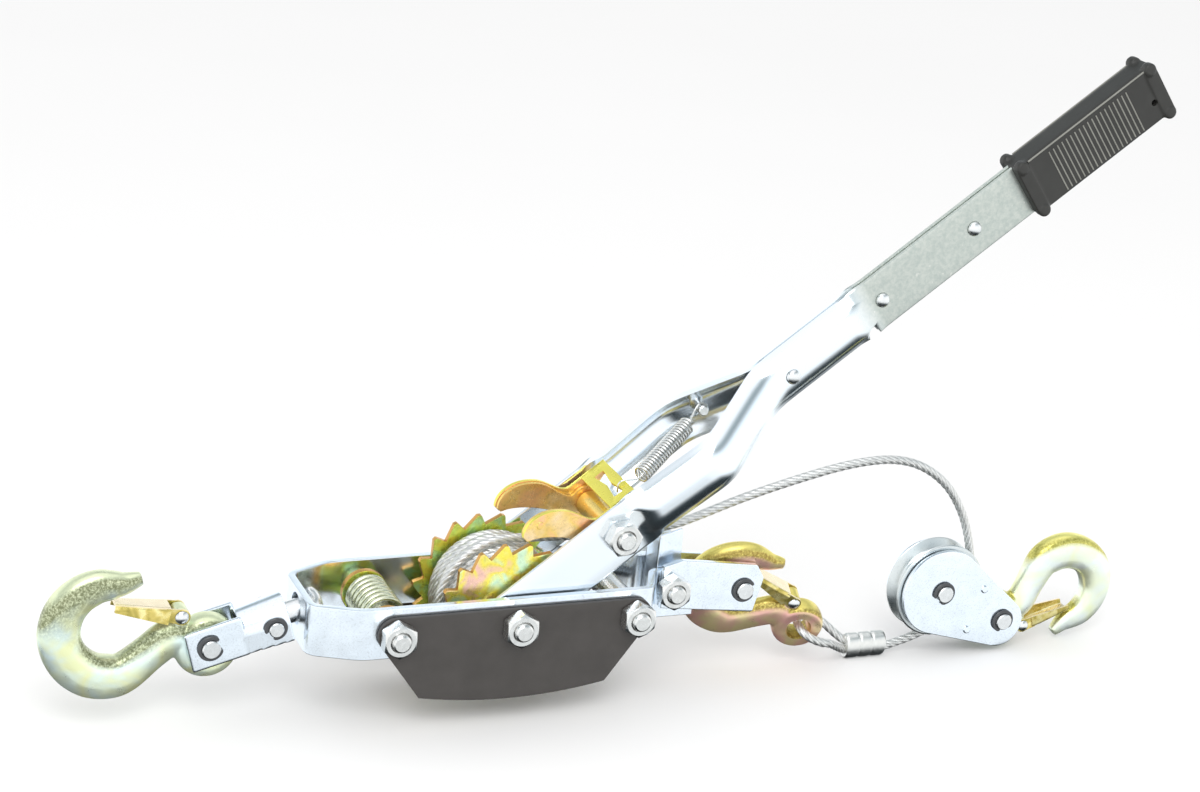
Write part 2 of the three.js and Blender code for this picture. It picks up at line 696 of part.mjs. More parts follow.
function hookBody(eyeRadius, eyeBore, eyeDrop) {
  const stations = hookStations();
  const corners = 10;
  const sections = stations.map(([x, z, halfWidth, halfThick], i) => {
    const [ax, az] = stations[Math.max(i - 1, 0)];
    const [bx, bz] = stations[Math.min(i + 1, stations.length - 1)];
    const along = new THREE.Vector2(bx - ax, bz - az).normalize();
    const section = [];
    for (let k = 0; k < corners; k++) {
      const angle = (2 * Math.PI * (k + 0.5)) / corners;
      const across = halfWidth * Math.cos(angle);
      const y = -halfThick * Math.sin(angle);
      section.push(new THREE.Vector3(x - along.y * across, y, z + along.x * across));
    }
    return section;
  });
  const eye = turned(
    [
      [0, -HOOK.halfThick],
      [eyeRadius - 3, -HOOK.halfThick],
      [eyeRadius, -HOOK.halfThick + 3.5],
      [eyeRadius, HOOK.halfThick - 3.5],
      [eyeRadius - 3, HOOK.halfThick],
      [0, HOOK.halfThick],
    ],
    0,
    -eyeDrop,
    20,
  );
  const boss = rod(4.5, -4.8, 4.8, LATCH.pivotX, LATCH.pivotZ, 12);
  const rivetHole = rod(LATCH_RIVET + GAP, -20, 20, LATCH.pivotX, LATCH.pivotZ, 12);
  const bore = rod(eyeBore, -20, 20, 0, -eyeDrop);
  return cut(join(loft(sections), eye, boss), bore, rivetHole);
}

// The latch: a sheet folded over the shank, narrowing to its tip under the beak.
function hookLatch() {
  const side = new THREE.Shape();
  side.absarc(0, 0, 4.4, rad(-60), rad(60), false);
  side.lineTo(-7, 4);
  side.lineTo(-LATCH.length, 1.8);
  side.lineTo(-LATCH.length, -1.8);
  side.lineTo(-6, -4);
  const inside = new THREE.Shape();
  inside.moveTo(12, -12);
  inside.lineTo(12, 12);
  inside.lineTo(-7.5, 12);
  inside.lineTo(-7.5, 3);
  inside.lineTo(-LATCH.length + 1.4, 0);
  inside.lineTo(-LATCH.length + 1.4, -12);
  // Seen from above, both its outside and its inside narrow from the shank to the tip.
  const tapered = (half, tipHalf) =>
    slab(
      outlineOf([
        [20, -half],
        [20, half],
        [-14, half],
        [-LATCH.length, tipHalf],
        [-LATCH.length, -tipHalf],
        [-14, -half],
      ]),
      -20,
      20,
    );
  const outer = tapered(LATCH.inner + LATCH_SHEET, LATCH.tipInner + LATCH_SHEET);
  const inner = tapered(LATCH.inner, LATCH.tipInner);
  const shell = plate(side, -20, 20).intersect(outer);
  const body = cut(shell, plate(inside, -20, 20).intersect(inner));
  return cut(body, rod(LATCH_RIVET + GAP, -20, 20, 0, 0, 12));
}

// A hook with its latch and their rivet, at its own size; the eye, its bore and how far it hangs
// below its pin are true sizes.
function latchedHook(names, { size, eye, bore, drop }) {
  const group = new THREE.Group();
  group.scale.setScalar(size);
  const latch = piece(names.latch, hookLatch(), gold);
  latch.position.set(LATCH.pivotX, 0, LATCH.pivotZ);
  latch.rotation.y = rad(LATCH.turn);
  const face = LATCH.inner + LATCH_SHEET + GAP;
  const rivet = turned(
    [
      [0, -face - 1.5],
      [3.6, -face],
      [LATCH_RIVET, -face],
      [LATCH_RIVET, face],
      [3.6, face],
      [0, face + 1.5],
    ],
    LATCH.pivotX,
    LATCH.pivotZ,
    12,
  );
  group.add(
    piece(names.hook, hookBody(eye / size, bore / size, drop / size), hookGold),
    latch,
    piece(names.rivet, rivet, steel),
  );
  return group;
}

// ---------------------------------------------------------------- swivel
// The yoke: an arched channel that widens over the stud, its sides running on as two cheeks.
function swivelYoke() {
  const archSection = (along, outer) => {
    const section = [];
    const inner = outer - YOKE.thick;
    const at = (radius, degrees) =>
      new THREE.Vector3(along, radius * Math.cos(rad(degrees)), radius * Math.sin(rad(degrees)));
    section.push(new THREE.Vector3(along, outer, -10.5));
    for (let degrees = 0; degrees <= 180; degrees += 15) section.push(at(outer, degrees));
    section.push(new THREE.Vector3(along, -outer, -10.5), new THREE.Vector3(along, -inner, -10.5));
    for (let degrees = 180; degrees >= 0; degrees -= 15) section.push(at(inner, degrees));
    section.push(new THREE.Vector3(along, inner, -10.5));
    return section;
  };
  const inner = YOKE.outer - YOKE.thick;
  const cheek = outlineOf([
    [-11.5, -11],
    [-11.5, 11],
    [YOKE.tubeStart + 1, 11],
    [YOKE.tubeStart + 1, -11],
  ]);
  const body = join(
    loft([archSection(YOKE.tubeStart, YOKE.outer), archSection(YOKE.tubeEnd, YOKE.wide)]),
    plate(cheek, -YOKE.outer, -inner),
    plate(cheek, inner, YOKE.outer),
  );
  const hookHole = rod(HOOK_PIN.radius + GAP + 0.1, -20, 20);
  const crossHole = rod(CROSS_PIN.radius + GAP, -20, 20, YOKE.pinS, 0, 16);
  return cut(body, hookHole, crossHole);
}

// The stud: a bar with a domed head inside the frame, held in the yoke by a cross pin.
function swivelStud() {
  const profile = [
    [0, 21],
    [STUD.radius, 21],
    [STUD.radius, STUD.headS],
    [STUD.head, STUD.headS],
    [STUD.head - 1, STUD.headS + 3],
    [4, STUD.headS + 5.6],
    [0, STUD.headS + 6],
  ];
  const points = profile.map(([radius, along]) => new THREE.Vector2(radius, along));
  const geometry = new THREE.LatheGeometry(points, 20);
  geometry.rotateZ(-Math.PI / 2);
  return cut(solid(geometry), rod(CROSS_PIN.radius + GAP, -20, 20, YOKE.pinS, 0, 16));
}

function swivel() {
  const group = new THREE.Group();
  group.position.set(HOOK_PIN.x, 0, HOOK_PIN.z);
  group.rotation.y = -rad(SWIVEL_TILT);
  group.add(
    piece("swivel_stud", swivelStud(), steel),
    piece("swivel_yoke", swivelYoke(), zinc),
    ringedPin("swivel_cross_pin", CROSS_PIN.radius, YOKE.wide, YOKE.pinS, 0, CROSS_PIN.ring),
    ringedPin("hook_pin", HOOK_PIN.radius, YOKE.outer, 0, 0),
  );
  return group;
}

function frontHook() {
  const names = { hook: "front_hook", latch: "front_latch", rivet: "front_latch_rivet" };
  const group = latchedHook(names, HOOK);
  group.position.set(HOOK_PIN.x, 0, HOOK_PIN.z);
  return group;
}

// ---------------------------------------------------------------- pulley block
function blockCheek(name, y0, dimpleY) {
  const y1 = y0 + BLOCK.thick;
  const outline = teardrop(BLOCK.head, BLOCK_TAIL.x, BLOCK_TAIL.z, BLOCK_TAIL.radius);
  const dimples = [
    [27.5, 0.3],
    [19.4, -24.7],
  ].map(([x, z]) => rod(2.4, dimpleY - 0.8, dimpleY + 0.8, x, z, 10));
  const bore = rod(BOLT.bore, -20, 20);
  const pin = rod(BOLT.bore, -20, 20, BLOCK.pinX, BLOCK.pinZ);
  return piece(name, cut(join(plate(outline, y0, y1), ...dimples), bore, pin), zinc);
}

function sheave() {
  const { radius, groove, halfWidth } = SHEAVE;
  const profile = [
    [BOLT.bore, -halfWidth],
    [radius, -halfWidth],
    [radius, 1.6 - halfWidth],
    [groove, -2.5],
    [groove, 2.5],
    [radius, halfWidth - 1.6],
    [radius, halfWidth],
    [BOLT.bore, halfWidth],
    [BOLT.bore, -halfWidth],
  ];
  return piece("sheave", turned(profile, 0, 0, 32), zinc);
}

function pulleyBlock() {
  const group = new THREE.Group();
  group.position.set(SHEAVE.x, 0, SHEAVE.z);
  const outer = BLOCK.inner + BLOCK.thick;
  const names = { hook: "block_hook", latch: "block_latch", rivet: "block_latch_rivet" };
  const hook = latchedHook(names, { ...SMALL_HOOK, bore: HOOK_PIN.radius + GAP + 0.1 });
  hook.position.set(BLOCK.pinX, 0, BLOCK.pinZ);
  hook.rotation.y = rad(BLOCK_HOOK_TURN);
  group.add(
    blockCheek("block_cheek_near", -outer, -outer),
    blockCheek("block_cheek_far", BLOCK.inner, outer),
    sheave(),
    ringedPin("sheave_pin", BOLT.radius, outer, 0, 0),
    ringedPin("block_hook_pin", HOOK_PIN.radius, outer, BLOCK.pinX, BLOCK.pinZ),
    hook,
  );
  return group;
}

// ---------------------------------------------------------------- cable
function cableHookTurn() {
  const { roll, pitch, yaw } = CABLE_HOOK;
  return new THREE.Euler(rad(roll), rad(pitch), rad(yaw), "ZYX");
}

function cableHook() {
  const names = { hook: "cable_hook", latch: "cable_latch", rivet: "cable_latch_rivet" };
  const group = latchedHook(names, { ...SMALL_HOOK, bore: 6.4 });
  group.position.set(CABLE_HOOK.x, CABLE_HOOK.y, CABLE_HOOK.z);
  group.rotation.copy(cableHookTurn());
  return group;
}

// The slack cable: off the drum, over the guide, round the sheave, through the ferrule and the eye
// of the cable hook, and back into the ferrule.
function cableCurve() {
  const points = [
    [3, -6, 36.4],
    [25, -5, 35.6],
    [55, -3, 34],
    [85, -1, 33.6],
    [100, 0, 35],
    [112, 0, 38],
    [143.5, 0, 48.5],
    [176.3, 0, 57.5],
    [207, 0, 64],
    [232.5, 0, 65.5],
    [252.6, 0, 60.7],
    [270, 0, 49.4],
    [282.5, 0, 34],
    [291.2, 0, 15.5],
  ];
  const around = (degrees) => [
    SHEAVE.x + SHEAVE.cableR * Math.cos(rad(degrees)),
    0,
    SHEAVE.z + SHEAVE.cableR * Math.sin(rad(degrees)),
  ];
  for (let degrees = 10; degrees >= -70; degrees -= 13.4) points.push(around(degrees));
  points.push([264, 0, -46.4], [253, 0, -49.6], [244, 0, -51.4]);
  points.push([232, 0, -51.5], [220, 0, -51.5]);
  const toWorld = new THREE.Matrix4().compose(
    new THREE.Vector3(CABLE_HOOK.x, CABLE_HOOK.y, CABLE_HOOK.z),
    new THREE.Quaternion().setFromEuler(cableHookTurn()),
    new THREE.Vector3(1, 1, 1),
  );
  const loop = [
    [21.5, -9, 0],
    [15, -10.8, 0],
    [8, -10.6, 0],
    [2.6, -7, 0],
    [0.6, 0, 0],
    [2.6, 7, 0],
    [8, 10.6, 0],
    [15, 10.8, 0],
    [21.5, 8, 0],
  ];
  for (const [x, y, z] of loop) {
    points.push(new THREE.Vector3(x, y, z).applyMatrix4(toWorld).toArray());
  }
  points.push([220, 0.5, -46.1], [232, 0.2, -46.1], [242, 0, -46.1]);
  return new THREE.CatmullRomCurve3(points.map((p) => new THREE.Vector3(...p)));
}

function ferrule(curve) {
  const oval = new THREE.Shape().absellipse(
    0,
    FERRULE.z,
    FERRULE.halfDepth,
    FERRULE.halfHeight,
    0,
    2 * Math.PI,
  );
  const body = bar(oval, FERRULE.x0, FERRULE.x1, 8);
  return piece("cable_ferrule", cut(body, wire(curve, CABLE.radius + 0.45, CABLE.steps, 8)), aluminium);
}

function cable() {
  const group = new THREE.Group();
  const curve = cableCurve();
  group.add(piece("cable_run", wire(curve, CABLE.radius, CABLE.steps, 6), ropeSteel), ferrule(curve));
  return group;
}

// ---------------------------------------------------------------- the whole winch
const winch = new THREE.Group();
winch.name = "come_along_winch";
winch.add(
  frame(),
  drum(),
  lever(),
  stopPawl(),
  swivel(),
  frontHook(),
  pulleyBlock(),
  cableHook(),
  cable(),
);
const wholeBox = new THREE.Box3().setFromObject(winch, true);
const middle = wholeBox.getCenter(new THREE.Vector3());
winch.position.set(-middle.x, -middle.y, -wholeBox.min.z);

export default winch;
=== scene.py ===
"""Looks of the come along winch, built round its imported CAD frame. Lengths here are millimetres
until look() turns them into metres; +X runs along the frame, +Z is up, "near" is -Y."""
import json
import math

import bmesh
import bpy
import numpy as np
from mathutils import Matrix, Vector


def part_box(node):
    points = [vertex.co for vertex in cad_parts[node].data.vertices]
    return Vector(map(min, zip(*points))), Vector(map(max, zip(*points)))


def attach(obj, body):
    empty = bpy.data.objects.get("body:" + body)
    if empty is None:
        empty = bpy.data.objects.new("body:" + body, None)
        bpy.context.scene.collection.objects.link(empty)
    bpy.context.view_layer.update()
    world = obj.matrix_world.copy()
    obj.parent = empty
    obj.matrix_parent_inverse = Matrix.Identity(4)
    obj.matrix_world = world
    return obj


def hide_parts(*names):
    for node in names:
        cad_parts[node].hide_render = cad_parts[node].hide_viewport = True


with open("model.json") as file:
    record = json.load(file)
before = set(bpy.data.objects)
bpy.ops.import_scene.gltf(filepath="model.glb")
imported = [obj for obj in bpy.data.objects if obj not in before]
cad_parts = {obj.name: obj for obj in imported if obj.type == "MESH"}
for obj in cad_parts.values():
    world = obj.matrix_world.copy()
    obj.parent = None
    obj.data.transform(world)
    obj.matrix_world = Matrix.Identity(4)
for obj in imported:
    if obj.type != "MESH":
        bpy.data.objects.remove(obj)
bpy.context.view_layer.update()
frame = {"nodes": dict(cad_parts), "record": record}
NODES = frame["nodes"]
BODIES = frame["record"]["behaviour"]["bodies"]
BODY = {node: body for body, members in BODIES.items() for node in members}
MM = 0.001
TAU = 2 * math.pi
AXLE = sum(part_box("drum_core"), Vector()) / 2  # the drum axle: zero for every length below
INTO_FRAME = Matrix.Translation(AXLE) @ Matrix.Scale(MM, 4)

# ---- dimensions shared with the CAD
GAP = 0.3
BOLT_R, BORE_R, NUT_FLATS = 4.9, 5.4, 17.0
NUT_HEIGHT, HEAD_HEIGHT, TAIL = 8.0, 6.4, 2.5
THREAD, THREAD_DEPTH = 1.5, 0.45
BOLT_X = 67.0  # the front and rear bolts stand this far from the axle
HALF_GRIP = 36.8  # half the length that the through bolts clamp
STRAP_HALF, STRAP_THICK, STRAP_Y, STRAP_NECK = 14.0, 4.0, 32.0, 11.0
SIDE_THICK, BRACKET_THICK, BRACKET_GRIP = 2.5, 3.5, 16.8
PIN_R, RING_R, RING_THICK = 4.9, 6.9, 1.3
YOKE_FACE, BLOCK_GRIP = 10.7, 10.6
TEETH = 18
WHEEL_FACE, WHEEL_THICK, FIRST_TIP = 22.8, 3.5, 176.6
# A tooth's corners: radius, degrees from its tip.
TOOTH = ((34.3, -5.3), (39.2, -2.0), (39.9, -1.3), (40, 1.4), (39.4, 2.3), (34.6, 13.6))
SMALL_HOOK = 0.92  # size of the cable and block hooks against the front one
LATCH_PIVOT = (-14.3, 16.3)
LATCH_SHEET = 1.3
LEVER_ANGLE = 37.4
PAWL_L = 72.3
ARM_OUTER, ARM_THICK = 28.5, 3.0
ARM_START, ARM_END = -14.5, 448.0
HOOK_PIN = (-157.6, 0.0, -10.5)
SWIVEL_TILT = 15.0
SHEAVE = (274.1, 0.0, -15.7)
BLOCK_PIN = (316.7, 0.0, -36.6)
CABLE_EYE = (185.6, -0.5, -30.6)
ANCHOR = (140.6, 0.0, 0.3)
ROPE_R, ROPE_LAY = 2.5, 27  # a strand goes once round in the lay
CRISP, SHEET, SOFT = 22, 34, 50  # angles in degrees above which an edge stays sharp


def turn(axis, degrees):
    return Matrix.Rotation(math.radians(degrees), 4, axis)


def place(point, *turns, scale=1.0):
    """A matrix in millimetres that scales, turns (last one first) and moves to the point."""
    m = Matrix.Translation(Vector(point))
    for t in turns:
        m = m @ t
    return m @ Matrix.Scale(scale, 4)


LEVER = place((0, 0, 0), turn("Y", -LEVER_ANGLE))
SWIVEL = place(HOOK_PIN, turn("Y", -SWIVEL_TILT))
FRONT_HOOK = place(HOOK_PIN)
BLOCK_HOOK = place(BLOCK_PIN, turn("Y", 152.6), scale=SMALL_HOOK)
CABLE_TURNS = (turn("Z", -5), turn("Y", 22), turn("X", 19))
CABLE_HOOK = place(CABLE_EYE, *CABLE_TURNS, scale=SMALL_HOOK)
BLOCK = place(SHEAVE)
HERE = Matrix.Identity(4)


# ---- mesh helpers
def mesh_of(verts, faces):
    mesh = bpy.data.meshes.new("m")
    mesh.from_pydata(verts, [], faces)
    return mesh


def tidy(mesh, merge=0.01):
    """Merges doubled vertices and turns every face outwards."""
    bm = bmesh.new()
    bm.from_mesh(mesh)
    bmesh.ops.remove_doubles(bm, verts=bm.verts, dist=merge)
    bmesh.ops.recalc_face_normals(bm, faces=bm.faces)
    bm.to_mesh(mesh)
    bm.free()
    return mesh


def joined(*meshes):
    bm = bmesh.new()
    for mesh in meshes:
        bm.from_mesh(mesh)
    out = bpy.data.meshes.new("m")
    bm.to_mesh(out)
    bm.free()
    return out


def add(name, data):
    obj = bpy.data.objects.new(name, data)
    bpy.context.scene.collection.objects.link(obj)
    return obj


def realised(obj):
    """The mesh that an object makes; the object itself is removed."""
    graph = bpy.context.evaluated_depsgraph_get()
    mesh = bpy.data.meshes.new_from_object(obj.evaluated_get(graph))
    bpy.data.objects.remove(obj)
    return mesh


def evaluated(mesh, *modifiers):
    """The mesh after modifiers given as (type, {setting: value})."""
    obj = add("tmp", mesh)
    for kind, settings in modifiers:
        modifier = obj.modifiers.new(kind, kind)
        for key, value in settings.items():
            setattr(modifier, key, value)
    return realised(obj)


def fused(mesh, voxel, smoothing):
    """Overlapping solids turned into one forged skin with soft edges."""
    return evaluated(
        mesh,
        ("REMESH", {"mode": "VOXEL", "voxel_size": voxel}),
        ("SMOOTH", {"factor": 0.5, "iterations": smoothing}),
    )


def carved(mesh, cutter):
    """The mesh with the cutter mesh taken away."""
    tool = add("tool", cutter)
    settings = {"object": tool, "operation": "DIFFERENCE", "solver": "EXACT"}
    mesh = evaluated(mesh, ("BOOLEAN", settings))
    bpy.data.objects.remove(tool)
    return mesh


def look(node, mesh, material, matrix=HERE, smooth=38, ending="look"):
    """Puts a millimetre mesh into the scene in metres, in place of a CAD node and on its body.
    Edges that turn by more than smooth degrees stay sharp."""
    mesh = mesh.copy()
    mesh.name = f"{node}_{ending}"
    mesh.transform(INTO_FRAME @ matrix)
    mesh.materials.clear()
    mesh.materials.append(material)
    mesh.polygons.foreach_set("use_smooth", [True] * len(mesh.polygons))
    mesh.set_sharp_from_angle(angle=math.radians(smooth))
    obj = add(mesh.name, mesh)
    flat_faces = obj.modifiers.new("flat_faces", "WEIGHTED_NORMAL")
    flat_faces.keep_sharp = True
    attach(obj, BODY[node])
    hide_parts(node)


def polar(radius, degrees, x=0.0, z=0.0):
    a = math.radians(degrees)
    return (x + radius * math.cos(a), z + radius * math.sin(a))


def arc(x, z, radius, start, end, steps=24):
    return [polar(radius, start + (end - start) * i / steps, x, z) for i in range(steps + 1)]


def circle(radius, x=0.0, z=0.0, steps=40):
    return arc(x, z, radius, 0, 360, steps)[:-1]


def bezier(p0, p1, p2, p3, steps=16):
    """Points of a cubic curve after its first one."""
    points = []
    for i in range(1, steps + 1):
        t = i / steps
        weights = ((1 - t) ** 3, 3 * t * (1 - t) ** 2, 3 * t * t * (1 - t), t**3)
        x = sum(w * p[0] for w, p in zip(weights, (p0, p1, p2, p3)))
        z = sum(w * p[1] for w, p in zip(weights, (p0, p1, p2, p3)))
        points.append((x, z))
    return points


def rounded(corners, steps=5, closed=True):
    """Corners (x, z, radius) joined by straight lines, each corner rounded."""
    points = []
    count = len(corners)
    for i, corner in enumerate(corners):
        radius = corner[2] if len(corner) > 2 else 0
        here = Vector(corner[:2])
        if not radius or (not closed and i in (0, count - 1)):
            points.append(tuple(here))
            continue
        back = (Vector(corners[i - 1][:2]) - here).normalized()
        on = (Vector(corners[(i + 1) % count][:2]) - here).normalized()
        half = back.angle(on) / 2
        start = here + back * (radius / math.tan(half))
        end = here + on * (radius / math.tan(half))
        centre = here + (back + on).normalized() * (radius / math.sin(half))
        a0 = math.atan2(*(start - centre).yx)
        sweep = (math.atan2(*(end - centre).yx) - a0 + math.pi) % TAU - math.pi
        for k in range(steps + 1):
            a = a0 + sweep * k / steps
            points.append((centre.x + radius * math.cos(a), centre.y + radius * math.sin(a)))
    return points


def slab(outline, z0, z1, holes=(), bevel=0.35):
    """A flat plate drawn in x and y, from z0 to z1, every edge rounded."""
    curve = bpy.data.curves.new("c", "CURVE")
    curve.dimensions = "2D"
    curve.fill_mode = "BOTH"
    curve.extrude = (z1 - z0) / 2 - bevel
    curve.bevel_depth = bevel
    curve.bevel_resolution = 1
    curve.offset = -bevel
    for loop in (outline, *holes):
        spline = curve.splines.new("POLY")
        spline.points.add(len(loop) - 1)
        for point, (x, y) in zip(spline.points, loop):
            point.co = (x, y, 0, 1)
        spline.use_cyclic_u = True
    mesh = realised(add("tmp", curve))
    mesh.transform(Matrix.Translation((0, 0, (z0 + z1) / 2)))
    return tidy(mesh)


def plate(outline, y0, y1, holes=(), bevel=0.35):
    """A flat plate drawn in x and z, from y0 to y1, every edge rounded."""
    mesh = slab(outline, -y1, -y0, holes, bevel)
    mesh.transform(turn("X", 90))
    return mesh


def skin_over(sections, closed=False):
    """Quads between sections of the same number of points, closed by a face at each end or by
    joining the last section to the first."""
    rows, count = len(sections), len(sections[0])
    faces = []
    for s in range(rows if closed else rows - 1):
        t = (s + 1) % rows
        for i in range(count):
            j = (i + 1) % count
            faces.append((s * count + i, s * count + j, t * count + j, t * count + i))
    if not closed:
        faces.append(tuple(range(count))[::-1])
        faces.append(tuple((rows - 1) * count + i for i in range(count)))
    return mesh_of([point for section in sections for point in section], faces)


def loft(sections, closed=False):
    return tidy(skin_over(sections, closed), 0.0005)


def spun(profile_at, sides, x=0.0, z=0.0):
    """A solid about the y direction from the profile, (radius, y) points, at each angle."""
    sections = []
    for i in range(sides):
        a = TAU * i / sides
        points = [(x + r * math.cos(a), y, z + r * math.sin(a)) for r, y in profile_at(a)]
        sections.append(points)
    return loft(sections, closed=True)


def lathe(profile, x=0.0, z=0.0, sides=48):
    return spun(lambda angle: profile, sides, x, z)


def hexagon(flats, y0, y1, x, z, bore=0.0):
    """A hex nut or head, corners up and down, both faces chamfered, its bore countersunk."""
    face = 0.47 * flats  # radius of the face inside the chamfer
    slope = 0.6  # drop of the chamfer against its width
    sink = 0.8 if bore else 0.0

    def profile(angle):
        corner = flats / 2 / math.cos((angle - math.pi / 2) % (math.pi / 3) - math.pi / 6)
        drop = slope * (corner - face)
        low = [(bore, y0 + sink), (bore + sink, y0), (face, y0), (corner, y0 + drop)]
        return low + [(corner, y1 - drop), (face, y1), (bore + sink, y1), (bore, y1 - sink)]

    return spun(profile, 72, x, z)


def folded(half_web, flange, degrees, thick, bend, steps=6):
    """The section of a folded sheet: its web runs along the second axis, centred on zero, and both
    flanges turn by the angle towards the first axis. Every edge is round."""
    angle = math.radians(degrees)
    trim = bend * math.tan(angle / 2)
    line = [(0.0, 0.0, 0.0), (0.0, half_web - trim, 0.0)]
    for i in range(1, steps + 1):
        a = angle * i / steps
        line.append((bend * (1 - math.cos(a)), half_web - trim + bend * math.sin(a), a))
    reach = flange - trim
    tip = (line[-1][0] + reach * math.sin(angle), line[-1][1] + reach * math.cos(angle))
    line.append((*tip, angle))
    half = thick / 2
    outer = [(u - half * math.cos(a), v + half * math.sin(a)) for u, v, a in line]
    inner = [(u + half * math.cos(a), v - half * math.sin(a)) for u, v, a in line]
    edge = []
    for k in (1, 2, 3):
        a = math.pi * k / 4 - angle
        edge.append((tip[0] - half * math.cos(a), tip[1] + half * math.sin(a)))
    top = outer + edge + inner[::-1]
    return top[1:] + [(u, -v) for u, v in top[::-1][1:]]


def spline(rows, per_span):
    """A Catmull-Rom curve through rows of numbers."""
    rows = np.array(rows, float)
    rows = np.vstack([2 * rows[0] - rows[1], rows, 2 * rows[-1] - rows[-2]])
    out = []
    for a, b, c, d in zip(rows, rows[1:], rows[2:], rows[3:]):
        for k in range(per_span):
            t = k / per_span
            square = (2 * a - 5 * b + 4 * c - d) * t * t
            out.append(0.5 * (2 * b + (c - a) * t + square + (3 * b - a - 3 * c + d) * t**3))
    out.append(rows[-2])
    return np.array(out)


def frames_along(points):
    """Each point of a path with two steady directions across it."""
    points = [Vector(p) for p in points]
    out, side = [], None
    for i, p in enumerate(points):
        tangent = (points[min(i + 1, len(points) - 1)] - points[max(i - 1, 0)]).normalized()
        if side is None:
            side = tangent.orthogonal().normalized()
        side = (side - tangent * side.dot(tangent)).normalized()
        out.append((p, side, tangent.cross(side)))
    return out


def smooth_path(points, spacing):
    """A smooth path through the points, sampled about every spacing millimetres."""
    fine = spline(points, 24)
    lengths = np.r_[0, np.cumsum(np.linalg.norm(np.diff(fine, axis=0), axis=1))]
    wanted = np.linspace(0, lengths[-1], int(lengths[-1] / spacing) + 2)
    return [tuple(np.interp(w, lengths, fine[:, k]) for k in range(3)) for w in wanted]


def coil_path(start, end, radius, turns, per_turn):
    """Points of a coil about the line from start to end."""
    start, end = Vector(start), Vector(end)
    axis = (end - start).normalized()
    u = axis.cross(Vector((0, 0, 1)) if abs(axis.z) < 0.9 else Vector((1, 0, 0))).normalized()
    v = axis.cross(u)
    points = []
    for i in range(int(turns * per_turn) + 1):
        a = TAU * i / per_turn
        centre = start.lerp(end, i / (turns * per_turn))
        points.append(tuple(centre + radius * (u * math.cos(a) + v * math.sin(a))))
    return points


def wire(path, radius, sides=10):
    sections = []
    for p, u, v in frames_along(path):
        angles = [TAU * i / sides for i in range(sides)]
        sections.append([tuple(p + radius * (u * math.cos(a) + v * math.sin(a))) for a in angles])
    return loft(sections)


def rope(path, radius):
    """Stranded wire rope: a lobed section twisted along the path. Its "groove" attribute is 1 on a
    strand's crown and 0 between strands, and "along" and "around" place the fine wires."""
    strands, per_strand = 6, 5
    count = strands * per_strand
    travelled = np.r_[0, np.cumsum([(Vector(b) - Vector(a)).length for a, b in zip(path, path[1:])])]
    sections, crown, along, around = [], [], [], []
    for (p, u, v), s in zip(frames_along(path), travelled):
        twist = TAU * s / ROPE_LAY
        section = []
        for i in range(count):
            a = TAU * i / count
            lobe = abs(math.cos(strands * a / 2))
            r = radius * (0.80 + 0.20 * lobe**0.8)
            section.append(tuple(p + r * (u * math.cos(a + twist) + v * math.sin(a + twist))))
            crown.append(lobe)
            along.append(s)
            around.append((a * strands / TAU) % 1.0)
        sections.append(section)
    mesh = skin_over(sections)
    for name, values in (("groove", crown), ("along", along), ("around", around)):
        mesh.attributes.new(name, "FLOAT", "POINT").data.foreach_set("value", values)
    return tidy(mesh, 0.0005)


# ---- materials
class Nodes:
    """A node tree under construction."""

    def __init__(self, tree):
        self.tree = tree

    def feed(self, value, socket):
        """Links an output to a socket, or sets it to a number, a vector or a colour."""
        if isinstance(value, bpy.types.NodeSocket):
            self.tree.links.new(value, socket)
        elif isinstance(value, tuple):
            socket.default_value = (*value, 1)
        else:
            socket.default_value = value

    def node(self, kind, inputs=None, **settings):
        node = self.tree.nodes.new("ShaderNode" + kind)
        for key, value in settings.items():
            setattr(node, key, value)
        for key, value in (inputs or {}).items():
            self.feed(value, node.inputs[key])
        return node

    def ramp(self, value, *stops):
        """A colour for the value from stops (position, colour or grey)."""
        ramp = self.node("ValToRGB", {"Fac": value})
        elements = ramp.color_ramp.elements
        while len(elements) < len(stops):
            elements.new(0.5)
        for element, (position, colour) in zip(elements, stops):
            element.position = position
            grey = isinstance(colour, (int, float))
            element.color = (colour,) * 3 + (1,) if grey else (*colour, 1)
        return ramp.outputs["Color"]


